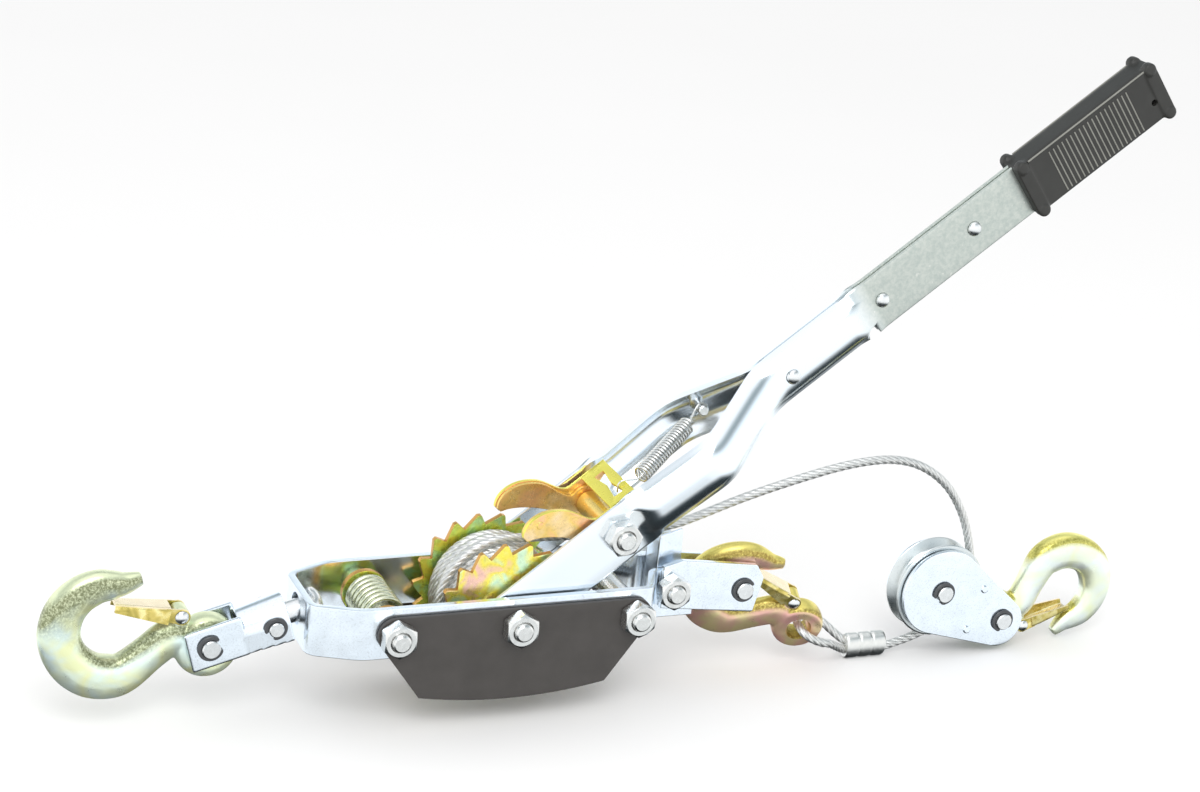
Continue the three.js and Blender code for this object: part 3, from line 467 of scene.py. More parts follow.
class Shader(Nodes):
    """A material under construction: a Principled BSDF with short calls for its inputs."""

    def __init__(self, name, **inputs):
        self.material = bpy.data.materials.new(name)
        self.material.use_nodes = True
        super().__init__(self.material.node_tree)
        self.bsdf = self.tree.nodes["Principled BSDF"]
        for key, value in inputs.items():
            self.bsdf.inputs[key.replace("_", " ").title().replace("Ior", "IOR")].default_value = value
        self.coordinates = self.node("TexCoord").outputs["Object"]

    def link(self, output, name):
        self.feed(output, self.bsdf.inputs[name])

    def noise(self, size, detail=3.0, roughness=0.5, distortion=0.0):
        """Noise with features about size millimetres across."""
        inputs = {"Vector": self.coordinates, "Scale": 1 / (size * MM), "Detail": detail}
        inputs |= {"Roughness": roughness, "Distortion": distortion}
        return self.node("TexNoise", inputs).outputs["Fac"]

    def mix(self, factor, a, b, blend="MIX"):
        first, second, result = 6, 7, 2  # the colour sockets of a mix node
        inputs = {"Factor": factor, first: a, second: b}
        return self.node("Mix", inputs, data_type="RGBA", blend_type=blend).outputs[result]

    def maths(self, operation, a, b=0.0):
        return self.node("Math", {0: a, 1: b}, operation=operation).outputs[0]

    def span(self, value, start, end, low=0.0, high=1.0):
        """The value moved from start..end to low..high."""
        inputs = {"Value": value, "From Min": start, "From Max": end, "To Min": low, "To Max": high}
        return self.node("MapRange", inputs).outputs["Result"]

    def dot(self, output, direction):
        return self.node("VectorMath", {0: output, 1: direction}, operation="DOT_PRODUCT").outputs["Value"]

    def facing(self, direction):
        """How far the surface faces a direction, 0 to 1."""
        dot = self.dot(self.node("NewGeometry").outputs["Normal"], Vector(direction).normalized())
        return self.maths("ADD", self.maths("MULTIPLY", dot, 0.5), 0.5)

    def along(self, direction, start, end):
        """0 before start and 1 after end, in millimetres along a direction of the frame."""
        direction = Vector(direction)
        zero = AXLE.dot(direction)
        return self.span(self.dot(self.coordinates, direction), zero + start * MM, zero + end * MM)

    def attribute(self, name):
        return self.node("Attribute", attribute_name=name).outputs["Fac"]

    def roughness(self, value, low, high):
        """Roughness from low to high over the middle of a noise."""
        self.link(self.span(value, 0.3, 0.7, low, high), "Roughness")

    def bump(self, value, height):
        """Bump of the given height in millimetres."""
        bump = self.node("Bump", {"Distance": height * MM, "Strength": 1.0, "Height": value})
        self.link(bump.outputs["Normal"], "Normal")


def zinc_plate(name, tint=(0.90, 0.95, 1.0), low=0.16, high=0.26):
    """Bright zinc, a little bluer in broad clouds, with fine dark specks."""
    s = Shader(name, metallic=1.0)
    broad = s.noise(26, 3)
    cloud = s.mix(broad, tint, tuple(c * f for c, f in zip(tint, (0.94, 0.97, 1.0))))
    specks = s.ramp(s.noise(0.9, 2), (0.32, 0.90), (0.44, 1.0))
    colour = s.mix(1.0, cloud, specks, "MULTIPLY")
    s.link(colour, "Base Color")
    s.roughness(s.noise(8, 4), low, high)
    s.bump(s.noise(2.5, 3), 0.006)
    return s.material


def lever_zinc():
    """Bright zinc on the pressed arms, turning to dull, speckled grey on the flat bars."""
    s = Shader("lever_zinc", metallic=1.0)
    a = math.radians(LEVER_ANGLE)
    bar_start, bar_end = 244, 262  # the change from arm to bar, along the lever
    flat = s.along((math.cos(a), 0, math.sin(a)), bar_start, bar_end)
    bright = s.mix(s.noise(30, 3), (0.93, 0.97, 1.0), (0.86, 0.92, 0.97))
    speckle = s.ramp(s.noise(2.2, 4, 0.6), (0.35, 0.0), (0.65, 1.0))
    grey = s.mix(speckle, (0.52, 0.57, 0.53), (0.64, 0.67, 0.62))
    spots = s.ramp(s.noise(4.5, 2), (0.70, 0.0), (0.76, 1.0))
    grey = s.mix(spots, grey, (0.74, 0.75, 0.70))
    s.link(s.mix(flat, bright, grey), "Base Color")
    s.link(s.maths("ADD", s.maths("MULTIPLY", flat, 0.20), 0.20), "Roughness")
    s.bump(s.noise(2.0, 3), 0.008)
    return s.material


def yellow_zinc(name, low, middle, high, edge=(0.62, 0.34, 0.08), blotch=9.0):
    """Yellow passivated zinc: three film colours drift over the faces that look along y, and faces that turn
    away from y take the edge colour, amber unless another is given; the latch's pale edge colour is a painted
    highlight over its top.
    """
    s = Shader(name, metallic=0.8)
    film = s.ramp(s.noise(blotch, 2, 0.5, distortion=0.6), (0.36, low), (0.50, middle), (0.64, high))
    stain = s.ramp(s.noise(2.4, 4, 0.65), (0.30, 0.72), (0.50, 1.0))
    film = s.mix(0.7, film, stain, "MULTIPLY")
    # the edge colour goes on every face that turns away from y; on the latch it is a painted highlight
    across = s.maths("ABSOLUTE", s.maths("SUBTRACT", s.facing((0, 1, 0)), 0.5))
    s.link(s.mix(s.ramp(across, (0.25, 1.0), (0.38, 0.0)), film, edge), "Base Color")
    s.roughness(s.noise(5, 3), 0.22, 0.36)
    s.bump(s.noise(1.6, 3), 0.012)
    return s.material


def forged_zinc(name, crown, face, low, shaded_mottle, bottom, top):
    """Forged hook: coarse mottled grain on its upper half and where it faces up, its dark mottle a painted
    shade, the crown colour laid on as a painted highlight where it faces straight up, and a pastel film
    below.
    """
    s = Shader(name, metallic=0.75)
    height = s.maths("SUBTRACT", s.along((0, 0, 1), bottom, top), 0.5)
    # up says how far the surface faces up, raised on the upper half; it places the painted shade and the
    # painted highlight
    up = s.maths("ADD", s.facing((0, 0, 1)), s.maths("MULTIPLY", height, 0.3))
    grain = s.ramp(s.noise(1.3, 4, 0.7), (0.44, shaded_mottle), (0.74, crown))
    pastel = s.ramp(s.noise(16, 2, distortion=0.5), (0.35, face), (0.65, low))
    colour = s.mix(s.ramp(up, (0.53, 0.0), (0.66, 1.0)), pastel, grain)
    # painted highlight: the crown colour laid over surfaces that face straight up
    s.link(s.mix(s.ramp(up, (0.82, 0.0), (0.96, 0.85)), colour, crown), "Base Color")
    s.roughness(s.noise(6, 3), 0.26, 0.42)
    s.bump(s.noise(1.3, 4, 0.65), 0.035)
    return s.material


def steel(name, colour, low=0.2, high=0.36):
    s = Shader(name, metallic=1.0)
    s.link(s.mix(s.noise(3, 3), colour, tuple(c * 0.82 for c in colour)), "Base Color")
    s.roughness(s.noise(2, 3), low, high)
    s.bump(s.noise(1.4, 2), 0.003)
    return s.material


def matte(name, colour, low, high, grain=0.8):
    s = Shader(name, metallic=0.0, specular_ior_level=0.35)
    s.link(s.mix(s.noise(14, 4), colour, tuple(c * 1.5 + 0.004 for c in colour)), "Base Color")
    s.roughness(s.noise(6, 3), low, high)
    s.bump(s.noise(grain, 3), 0.03)
    return s.material


def rope_steel():
    """Steel wires that lean across each strand; the darker lines between the wires and the darker grooves
    between the strands are painted shade.
    """
    s = Shader("rope_steel", metallic=0.9)
    across_strand, along_rope, wave_scale = 4.0, 0.55, 0.32
    across = s.maths("MULTIPLY", s.attribute("around"), across_strand)
    lean = s.maths("MULTIPLY", s.attribute("along"), along_rope)
    vector = s.node("CombineXYZ", {0: s.maths("ADD", across, lean)}).outputs[0]
    inputs = {"Vector": vector, "Scale": wave_scale}
    wires = s.node("TexWave", inputs, wave_type="BANDS", bands_direction="X").outputs["Fac"]
    # painted shade: darker in the grooves between strands
    groove = s.ramp(s.attribute("groove"), (0.05, 0.30), (0.50, 1.0))
    tone = s.mix(s.noise(5, 3), (0.84, 0.84, 0.82), (0.94, 0.94, 0.92))
    wire_gap_shade = s.ramp(wires, (0.1, 0.80), (0.6, 1.0))
    s.link(s.mix(1.0, s.mix(1.0, tone, groove, "MULTIPLY"), wire_gap_shade, "MULTIPLY"), "Base Color")
    s.roughness(s.noise(3, 2), 0.32, 0.48)
    s.bump(wires, 0.05)
    return s.material


ZINC = zinc_plate("bright_zinc")
SHEAVE_ZINC = zinc_plate("sheave_zinc", (0.74, 0.77, 0.76), 0.24, 0.4)
LEVER_ZINC = lever_zinc()
STEEL = steel("plated_steel", (0.88, 0.88, 0.86))
PIN_STEEL = steel("pin_steel", (0.90, 0.91, 0.91), 0.22, 0.34)
SPRING_STEEL = steel("spring_steel", (0.86, 0.88, 0.66), 0.2, 0.3)
DARK_RING = matte("blackened_ring", (0.055, 0.058, 0.062), 0.24, 0.36)
BLACK_PAINT = matte("black_paint", (0.050, 0.046, 0.043), 0.40, 0.55)
GRIP = matte("grip_plastic", (0.026, 0.026, 0.024), 0.32, 0.44, 1.2)
# the ribs' pale grey is a painted highlight on the black grip
RIB_HIGHLIGHT = matte("grip_rib_highlight", (0.20, 0.20, 0.18), 0.4, 0.5)
WHEEL_GOLD = yellow_zinc("wheel_gold", (0.98, 0.62, 0.50), (1.0, 0.86, 0.12), (0.72, 0.95, 0.66), blotch=13)
FAR_WHEEL_GOLD = yellow_zinc("far_wheel_gold", (0.80, 0.70, 0.08), (0.68, 0.80, 0.14), (0.55, 0.85, 0.35))
PAWL_GOLD = yellow_zinc(
    "pawl_gold", (1.0, 0.58, 0.30), (0.95, 0.66, 0.20), (0.98, 0.74, 0.42), (0.92, 0.82, 0.14), 16
)
PAWL_AMBER = yellow_zinc(
    "pawl_amber", (0.92, 0.52, 0.22), (0.90, 0.58, 0.18), (0.92, 0.66, 0.30), (0.90, 0.66, 0.20), 16
)
# the latch's last colour, pale cream, is a painted highlight over its top
LATCH_GOLD = yellow_zinc(
    "latch_gold", (0.46, 0.38, 0.09), (0.72, 0.58, 0.17), (0.92, 0.82, 0.38), (0.98, 0.84, 0.60), 7
)
ROPE = rope_steel()
ALUMINIUM = steel("aluminium_sleeve", (0.88, 0.88, 0.85), 0.30, 0.42)
# Each hook: crown (also its painted highlight), two pastel film colours, the dark mottle of its painted
# shade, and the height span that counts as its upper half
FRONT_FORGED = forged_zinc(
    "front_forged", (0.86, 0.92, 0.62), (0.84, 1.0, 0.96), (0.94, 0.98, 0.58), (0.22, 0.24, 0.13), -36, 20
)
CABLE_FORGED = forged_zinc(
    "cable_forged", (0.90, 0.78, 0.22), (1.0, 0.56, 0.50), (0.94, 0.78, 0.42), (0.34, 0.24, 0.06), -50, -4
)
BLOCK_FORGED = forged_zinc(
    "block_forged", (0.98, 0.92, 0.30), (0.92, 0.98, 0.66), (0.90, 0.98, 0.94), (0.48, 0.44, 0.10), -10, 34
)


# ---- bolts, nuts, pins and rings
def bolt(name, x, z, half_grip, matrix=HERE):
    """A through bolt: head on the far side, nut and threaded tail on the near side."""
    nut_end = -half_grip - GAP
    nut_start = nut_end - NUT_HEIGHT
    tail = nut_start - TAIL
    profile = [(0, tail), (BOLT_R - 0.9, tail), (BOLT_R, tail + 0.7)]
    y = tail + 1.0
    while y < nut_start + 1:
        profile += [(BOLT_R, y), (BOLT_R - THREAD_DEPTH, y + THREAD / 2)]
        y += THREAD
    profile += [(BOLT_R, y), (BOLT_R, half_grip + 1), (0, half_grip + 1)]
    head = hexagon(NUT_FLATS, half_grip + GAP, half_grip + GAP + HEAD_HEIGHT, x, z)
    nut = hexagon(NUT_FLATS, nut_start, nut_end, x, z, BORE_R - 0.4)
    look(f"{name}_bolt", joined(lathe(profile, x, z), head), STEEL, matrix, CRISP)
    look(f"{name}_nut", nut, STEEL, matrix, CRISP)


def open_ring(inner, outer, y0, y1, gap_at, x=0.0, z=0.0):
    """A retaining ring with its opening centred on an angle in degrees, its ends rounded off."""
    steps, gap = 44, 58
    middle, half = (inner + outer) / 2, (outer - inner) / 2
    narrowing = {0: 0.62, 1: 0.9, steps - 1: 0.9, steps: 0.62}
    half_section = [(-1, 0.3), (-0.6, 0), (0.6, 0), (1, 0.3)]  # shares of half the width, and of y0 to y1
    corners = half_section + [(r, 1 - y) for r, y in half_section[::-1]]
    sections = []
    for i in range(steps + 1):
        degrees = gap_at + gap / 2 + (360 - gap) * i / steps
        reach = half * narrowing.get(i, 1.0)
        section = []
        for r, y in corners:
            px, pz = polar(middle + r * reach, degrees, x, z)
            section.append((px, y0 + y * (y1 - y0), pz))
        sections.append(section)
    return loft(sections)


def ringed_pin(name, radius, half_grip, ring, gap_at, x=0.0, z=0.0, matrix=HERE):
    """A pin headed on the far side and held by a black open ring on the near side."""
    near, far = -half_grip - GAP, half_grip + GAP
    neck, head = radius - 0.5, radius + 2
    profile = [(0, near - 3), (neck, near - 3), (radius, near - 2.5), (radius, near - RING_THICK)]
    profile += [(neck, near - 1.2), (neck, near - 0.1), (radius, near), (radius, far)]
    profile += [(head, far), (head, far + 1.5), (head - 0.7, far + 2), (0, far + 2)]
    clip = open_ring(radius - 0.2, ring, near - RING_THICK, near, gap_at, x, z)
    look(name, lathe(profile, x, z), PIN_STEEL, matrix, CRISP)
    look(name, clip, DARK_RING, matrix, CRISP, "ring")


# ---- frame
def ribbon(line, thick):
    """The outline of a bent sheet: its centre line moved half the sheet to each side."""
    points = [Vector(p) for p in line]
    left, right = [], []
    for i, p in enumerate(points):
        back = (p - points[i - 1]).normalized() if i else (points[1] - p).normalized()
        on = (points[i + 1] - p).normalized() if i + 1 < len(points) else back
        along = (back + on).normalized()
        across = Vector((-along.y, along.x)) * (thick / 2 / max(along.dot(on), 0.5))
        left.append(tuple(p + across))
        right.append(tuple(p - across))
    return right + left[::-1]


def strap():
    """The bent strap: two necks for the brackets, two long sides and a front with the stud's hole."""
    neck = STRAP_NECK
    near_half = [(112, -neck), (86.5, -neck, 5), (76.5, -STRAP_Y, 5), (-84, -STRAP_Y, 26), (-108.3, -20.5, 7)]
    far_half = [(x, -y, *bend) for x, y, *bend in near_half[::-1]]
    line = rounded(near_half + far_half, 8, closed=False)
    body = slab(ribbon(line, STRAP_THICK), -STRAP_HALF, STRAP_HALF, bevel=0.5)
    hole_radius, hole_height = 8.5, 3
    hole = lathe([(0, 90), (hole_radius, 90), (hole_radius, 125), (0, 125)], sides=40)
    hole.transform(Matrix.Translation((0, 0, hole_height)) @ turn("Z", 90))
    return carved(body, hole)


def side_plate(y0):
    """A side plate: a round ear at the front and rear bolts and a slightly sagging lower edge."""
    ear, corner_x, corner_z, bottom = 9.7, 52.5, -37.0, -42.0
    sag = corner_z - bottom
    radius = (corner_x**2 + sag**2) / (2 * sag)
    spread = math.degrees(math.asin(corner_x / radius))
    outline = arc(BOLT_X, 0, ear, 90, -35)
    outline += arc(0, bottom + radius, radius, -90 + spread, -90 - spread)
    outline += arc(-BOLT_X, 0, ear, 215, 90)
    return plate(outline, y0, y0 + SIDE_THICK, bevel=0.3)


def cable_guide():
    """The cable guide: two ears and the web between them."""
    back, foot, sheet, inner = 90.5, -12, 2, 6.6
    ear = rounded([(back, foot), (105, foot, 1), (104, 36, 1), (back, 32.5, 1)])
    web = [(back, foot), (back + sheet, foot), (back + sheet, 29), (back, 29)]
    return joined(
        plate(ear, -inner - sheet, -inner, bevel=0.4),
        plate(ear, inner, inner + sheet, bevel=0.4),
        plate(web, -8, 8, bevel=0.3),
    )


look("frame_strap", strap(), ZINC)
for side, y in (("near", -HALF_GRIP), ("far", HALF_GRIP - SIDE_THICK)):
    look(f"side_plate_{side}", side_plate(y), BLACK_PAINT)
for name, x in (("front", -BOLT_X), ("axle", 0), ("rear", BOLT_X)):
    bolt(name, x, 0, HALF_GRIP)
bolt("bracket", 96, 4.5, BRACKET_GRIP)

near_bracket = [(91, -6.8), (147.7, -13.9, 1.5), (152.6, 6.4, 2)]
near_bracket += [(147.8, 14.6, 2), (102.2, 20.5, 3), (91, 17.6)]
far_bracket = [(91, -6.8), (147.7, -9, 1.5), (150, 0, 2), (147, 7.5, 2), (104, 13, 3), (91, 13)]
brackets = (("near", -BRACKET_GRIP, near_bracket), ("far", BRACKET_GRIP - BRACKET_THICK, far_bracket))
for side, y, corners in brackets:
    mesh = plate(rounded(corners), y, y + BRACKET_THICK, bevel=0.5)
    look(f"bracket_plate_{side}", mesh, ZINC)
look("cable_guide", cable_guide(), ZINC)
ringed_pin("anchor_pin", PIN_R, BRACKET_GRIP, RING_R, 0, ANCHOR[0], ANCHOR[2])
stop_spring_path = coil_path((-BOLT_X, -17, 0), (-BOLT_X, 17, 0), 11.0, 7.4, 28)
look("stop_pawl_spring", wire(stop_spring_path, 1.4), SPRING_STEEL)


# ---- drum
def wheel(y0):
    """A ratchet wheel: each tooth has a steep face and a long, slightly hollow back."""
    outline = []
    for k in range(TEETH):
        tip = FIRST_TIP + k * 360 / TEETH
        outline += [polar(radius, tip + offset) for radius, offset in TOOTH]
    return plate(outline, y0, y0 + WHEEL_THICK, [circle(BORE_R)])


wheels = (("near", -WHEEL_FACE, WHEEL_GOLD), ("far", WHEEL_FACE - WHEEL_THICK, FAR_WHEEL_GOLD))
for side, y, gold in wheels:
    look(f"ratchet_wheel_{side}", wheel(y), gold)
wound = coil_path((0, -16.1, 0), (0, 16.1, 0), 30.7, 6.1, 96)
look("drum_cable", rope(wound, 2.66), ROPE)


# ---- lever
def arm_path():
    """Rows (along, outer face y, flange turn, half web, flange) of the arm, its kinks eased."""
    spacing, flat, trough = 1.5, (0, 8, 6.5), (45, 7.4, 9.6)
    stations = [
        (ARM_START, -ARM_OUTER, *flat),
        (83, -ARM_OUTER, *flat),
        (92, -34.2, *trough),
        (130, -37.4, *trough),
        (138, -37.4, *trough),
        (146, -34, *trough),
        (182, -11.5, *trough),
        (190, -9.5, *trough),
        (247, -9.5, *trough),
        (259, -3.4, *flat),
        (ARM_END, -3.4, *flat),
    ]
    stations = np.array(stations, float)
    rows = []
    for x in np.arange(ARM_START, ARM_END, spacing):
        ease = min(4.0, x - ARM_START, ARM_END - x)
        window = np.linspace(x - ease, x + ease, 9)
        rows.append([x] + [np.interp(window, stations[:, 0], stations[:, k]).mean() for k in range(1, 5)])
    return rows


def arm(side):
    """An arm of the lever, on the near side for 1 and the far side for -1."""
    notch_start, notch_end, notch_edge = 249.5, 257, -9  # where the lower flange is cut away
    sections = []
    for x, outer, degrees, half_web, flange in arm_path():
        narrow = math.sqrt(max(1 - (x / ARM_START) ** 2, 0.01)) if x < 0 else 1.0
        bend = 4 + degrees / 5
        section = folded(half_web * narrow, flange * narrow, degrees, ARM_THICK, bend, 9)
        points = []
        for across, up in section:
            if notch_start < x < notch_end and up < notch_edge:
                across, up = across * 0.45, notch_edge + (up - notch_edge) * 0.1
            points.append((x, side * (outer + ARM_THICK / 2 + across), up))
        sections.append(points)
    return loft(sections)


def rivet(along, face):
    """A rivet with a domed head at each end."""
    radius, dome, shank = 4.2, 2.4, 2.4
    head = [(radius * math.cos(math.radians(a)), dome * math.sin(math.radians(a))) for a in range(0, 91, 15)]
    profile = [(r, -face - h) for r, h in head[::-1]] + [(shank, -face), (shank, face)]
    return lathe(profile + [(r, face + h) for r, h in head], along, 0, 32)


def oblong(half_y, half_z, radius):
    corners = ((1, 1), (-1, 1), (-1, -1), (1, -1))
    return rounded([(y * half_y, z * half_z, radius) for y, z in corners])


def block(x0, x1, *section):
    """A bar from x0 to x1 with an oblong section."""
    return loft([[(x, y, z) for y, z in oblong(*section)] for x in (x0, x1)])


def grip():
    """The moulded grip: a long bar, a thicker block at each end and a lug at each of its corners."""
    start, end, lug_r = 366.5, 465.0, 3.8
    parts = [block(start + 0.8, end - 0.8, 8.5, 16.4, 2.2)]
    for x in (start + lug_r, end - lug_r):
        parts.append(block(x - lug_r, x + lug_r, 9.3, 15.2, 2.5))
        for y0, y1 in ((-10.4, -4.6), (4.6, 10.4)):
            for z in (-15, 15):
                lug = [(0, y0), (3, y0), (lug_r, y0 + 0.8), (lug_r, y1 - 0.8), (3, y1), (0, y1)]
                parts.append(lathe(lug, x, z, 28))
    body = fused(joined(*parts), 0.7, 3)
    hole = lathe([(0, -12), (1.9, -12), (1.9, 12), (0, 12)], 455.5, -4, 20)
    return carved(body, hole)


def grip_ribs():
    """The grip's pale lines, a painted highlight: short ribs across both faces and a long crease above them.
    """
    rib_count, first, pitch, face = 19, 388, 3.05, 8.55
    beads = []
    for k in range(rib_count):
        x = first + k * pitch
        for y in (-face, face):
            beads.append(wire([(x, y, -14), (x, y, 13)], 0.42, 8))
    for y in (-8.2, 8.2):
        beads.append(wire([(375, y, 15.9), (458, y, 15.9)], 0.5, 8))
    return joined(*beads)


for name, side in (("near", 1), ("far", -1)):
    look(f"lever_arm_{name}", arm(side), LEVER_ZINC, LEVER, 32)
for i, (along, face) in enumerate(((200.5, 9.8), (266.6, 3.7), (331.7, 3.7))):
    look(f"lever_rivet_{i + 1}", rivet(along, face), PIN_STEEL, LEVER)
bolt("pawl", PAWL_L, 0, ARM_OUTER, LEVER)
stud_profile = [(0, 14), (2.4, 14), (3, 14.6), (3, 16), (2.4, 16.4), (2.4, 18), (3, 18.4), (3, 36), (0, 36)]
look("spring_anchor", lathe(stud_profile, 153, 3), PIN_STEEL, LEVER)
look("lever_grip", grip(), GRIP, LEVER, SOFT)
look("lever_grip", grip_ribs(), RIB_HIGHLIGHT, LEVER, SOFT, "ribs")


# ---- drive pawl and its spring
def pawl_side():
    """A side of the pawl: its long curved tab, the shelf under the web and the round end at its bolt."""
    outline = [(30.3, 28.7), (29.8, 32.3)]
    outline += bezier((29.8, 32.3), (34.5, 38.6), (46.5, 39), (56, 29.7))
    outline += bezier((56, 29.7), (62, 24), (63, 13), (70, 13))
    outline += [(93, 13), (93, 8)] + arc(PAWL_L, 0, 11.5, 20, -140)
    return outline + bezier(outline[-1], (58, 2), (50, 19), (34.5, 27.2))


def pawl_doubler():
    """The plate inside a side of the pawl, a little smaller and without the shelf."""
    outline = [(30.6, 29), (30.2, 31.8)]
    outline += bezier((30.2, 31.8), (34.5, 38), (46.5, 38.5), (55.6, 29.2))
    outline += bezier((55.6, 29.2), (61.5, 24), (61.5, 14), (67, 9.5)) + arc(PAWL_L, 0, 10, 110, -140)
    return outline + bezier(outline[-1], (58, 2), (50, 19), (34.5, 27.5))


def pawl_web():
    """The web between the pawl's sides, with a slot that is narrower in its middle."""
    sheet = [(77, -22.6), (93, -22.6), (93, 22.6), (77, 22.6)]
    slot = [(82.5, -14.5, 0.8), (88.5, -14.5, 0.8), (86.7, -0.5, 2)]
    slot += [(88.5, 13.5, 0.8), (82.5, 13.5, 0.8), (84.3, -0.5, 2)]
    return slab(sheet, 10.4, 13, [rounded(slot)], bevel=0.5)


def raised_dot(y, depth):
    """The small round head on a side of the pawl, from its face at y into the plate."""
    profile = [(0, y), (1.9, y), (2.3, y + depth * 0.5), (2.3, y + depth), (0, y + depth)]
    return lathe(profile, 41, 32, 24)


def return_spring():
    """The coil from the pawl's web to the anchor stud, with a hooked wire at each end."""
    low, high, radius = Vector((101.5, -9, 9.8)), Vector((141, 13.3, 3.5)), 4.2
    run = (high - low).normalized()
    up = Vector((0, 0, radius))
    hook_low = [low + run * 0.5 + up, low - run * 3, (92, -10, 14.5), (88.5, -9.5, 14), (86, -9, 10.5)]
    hook_high = [high - run * 0.5 - up, high + run * 3, (150, 16.2, 6.3), (154, 17.2, 6.6), (156.6, 17.2, 3)]
    wires = [wire(coil_path(low, high, radius, 22, 16), 0.8, 8)]
    for hook in (hook_low, hook_high):
        wires.append(wire(smooth_path(hook, 1.0), 0.6, 8))
    return joined(*wires)


sides = [plate(pawl_side(), y, y + 2.6, bevel=0.4) for y in (-23.2, 20.6)]
pawl = joined(*sides, pawl_web(), raised_dot(-23.6, 1), raised_dot(23.6, -1))
look("drive_pawl", pawl, PAWL_GOLD, LEVER, SHEET)
for side, y in (("near", -20.4), ("far", 18.0)):
    mesh = plate(pawl_doubler(), y, y + 2.4, bevel=0.4)
    look(f"pawl_doubler_{side}", mesh, PAWL_AMBER, LEVER, SHEET)
sleeve_profile = [(BORE_R, -17.5), (6.6, -17.5), (7.2, -16.9), (7.2, 16.9), (6.6, 17.5), (BORE_R, 17.5)]
sleeve = lathe(sleeve_profile, PAWL_L, sides=40)
look("pawl_sleeve", sleeve, PAWL_AMBER, LEVER, SHEET)
look("pawl_spring", return_spring(), STEEL, LEVER, SOFT)


# ---- stop pawl
def stop_pawl_finger(hub):
    """A finger of the stop pawl: its round hub on the front bolt and its point at the wheel."""
    outline = arc(-BOLT_X, 0, hub, 19, 225, 36)
    outline += [(-32.5, -32.5), (-28.6, -30.6), (-42, -20)]
    return outline + bezier((-42, -20), (-49, -13), (-53.7, -5), outline[0])


def stop_pawl():
    """Two fingers and the web that joins them below the bolt."""
    hole = circle(7.3, -BOLT_X, 0)
    parts = []
    for y, hub in ((-22.6, 9.6), (18.6, 12.5)):
        parts.append(plate(stop_pawl_finger(hub), y, y + 4, [hole], bevel=0.4))
    web = [(-63.5, -15.5), (-54.7, -20.3), (-53.5, -18), (-62.3, -13.2)]
    return joined(*parts, plate(web, -22, 22, bevel=0.4))


look("stop_pawl", stop_pawl(), FAR_WHEEL_GOLD, smooth=SHEET)


# ---- hooks
def hook_line(square):
    """Rows (x, z, half width, half thickness, section power) along the shank and round the bowl."""
    rows = [(-8, 1.6, 10.0, 6.8, 1), (-18.6, 2.6, 10.7, 6.8, 1), (-28.4, -4.2, 10.2, 6.8, 1)]
    centre = (-48.9, 11)
    # Degrees and radius about the bowl's centre, half width, half thickness.
    bowl = [(-72, 26.2, 10.6, 7), (-90, 27.2, 11.6, 7.2), (-112, 27.4, 11.8, 7.4), (-135, 27, 11.5, 7.4)]
    bowl += [(-158, 26.7, 11.1, 7.4), (-180, 26.4, 10.8, 7.2), (-204, 26, 10.3, 7), (-227, 25.3, 9.6, 6.7)]
    bowl += [(-250, 24.4, 8.8, 6.2), (-270, 23.5, 7.5, 5.4), (-284, 24.6, 5.8, 4.5)]
    bowl += [(-294, 27.6, 4.4, 3.6), (-299.5, 30, 3.3, 2.8)]
    for degrees, radius, half_width, half_thick in bowl:
        rows.append((*polar(radius, degrees, *centre), half_width, half_thick, square))
    return spline(rows, 6)


def signed_power(value, power):
    return math.copysign(abs(value) ** power, value)


def mirrored_lathe(half, x, z, sides=48):
    """A solid about the y direction from the half of its profile at negative y."""
    return lathe(half + [(r, -y) for r, y in half[::-1]], x, z, sides)


def hook_skin(eye, bore, drop, square):
    """A forged hook: eye, shank, bowl and beak fused into one soft-edged skin. Square is the power
    of the bowl's section: 1 is an ellipse and less is flatter on the sides."""
    rows = hook_line(square)
    corners = 28
    sections = []
    for i, (x, z, half_width, half_thick, power) in enumerate(rows):
        back, on = rows[max(i - 1, 0)], rows[min(i + 1, len(rows) - 1)]
        along = Vector((on[0] - back[0], on[1] - back[1])).normalized()
        section = []
        for k in range(corners):
            a = TAU * k / corners
            across = half_width * signed_power(math.cos(a), power)
            y = half_thick * signed_power(math.sin(a), power)
            section.append((x - along.y * across, y, z + along.x * across))
        sections.append(section)
    ring = [(0, -7), (eye - 4, -7), (eye - 1.6, -6.2), (eye - 0.4, -4.2), (eye, -1.5)]
    ring = mirrored_lathe(ring, 0, -drop)
    boss = lathe([(0, -4.8), (4.5, -4.8), (4.5, 4.8), (0, 4.8)], *LATCH_PIVOT)
    skin = fused(joined(loft(sections), ring, boss), 0.8, 4)
    flare = [(0, -9), (bore + 2.2, -9), (bore + 0.9, -6.4), (bore, -4.8)]
    return carved(skin, mirrored_lathe(flare, 0, -drop))


def latch_mesh():
    """The latch: a sheet folded over the shank, narrowing to its tip, with two round ears."""
    root, tip, taper_from = -6.5, -34.8, 0.26
    sections = []
    for x in np.linspace(root, tip, 24):
        t = (x - root) / (tip - root)
        half_web = 6.3 - 1.3 * max(0.0, (t - taper_from) / (1 - taper_from))
        top = 4.1 - 2.3 * t
        depth = 2 * top * 0.98
        section = folded(half_web, depth, 86, LATCH_SHEET, 1.9)
        sections.append([(x, up, top - LATCH_SHEET / 2 - across) for across, up in section])
    parts = [loft(sections)]
    ear = arc(0, 0, 4.5, -112, 112, 30) + [(-9, 3.6), (-9, -3.4)]
    for y in (-6.45, 5.15):
        parts.append(plate(ear, y, y + LATCH_SHEET, bevel=0.3))
    return joined(*parts)


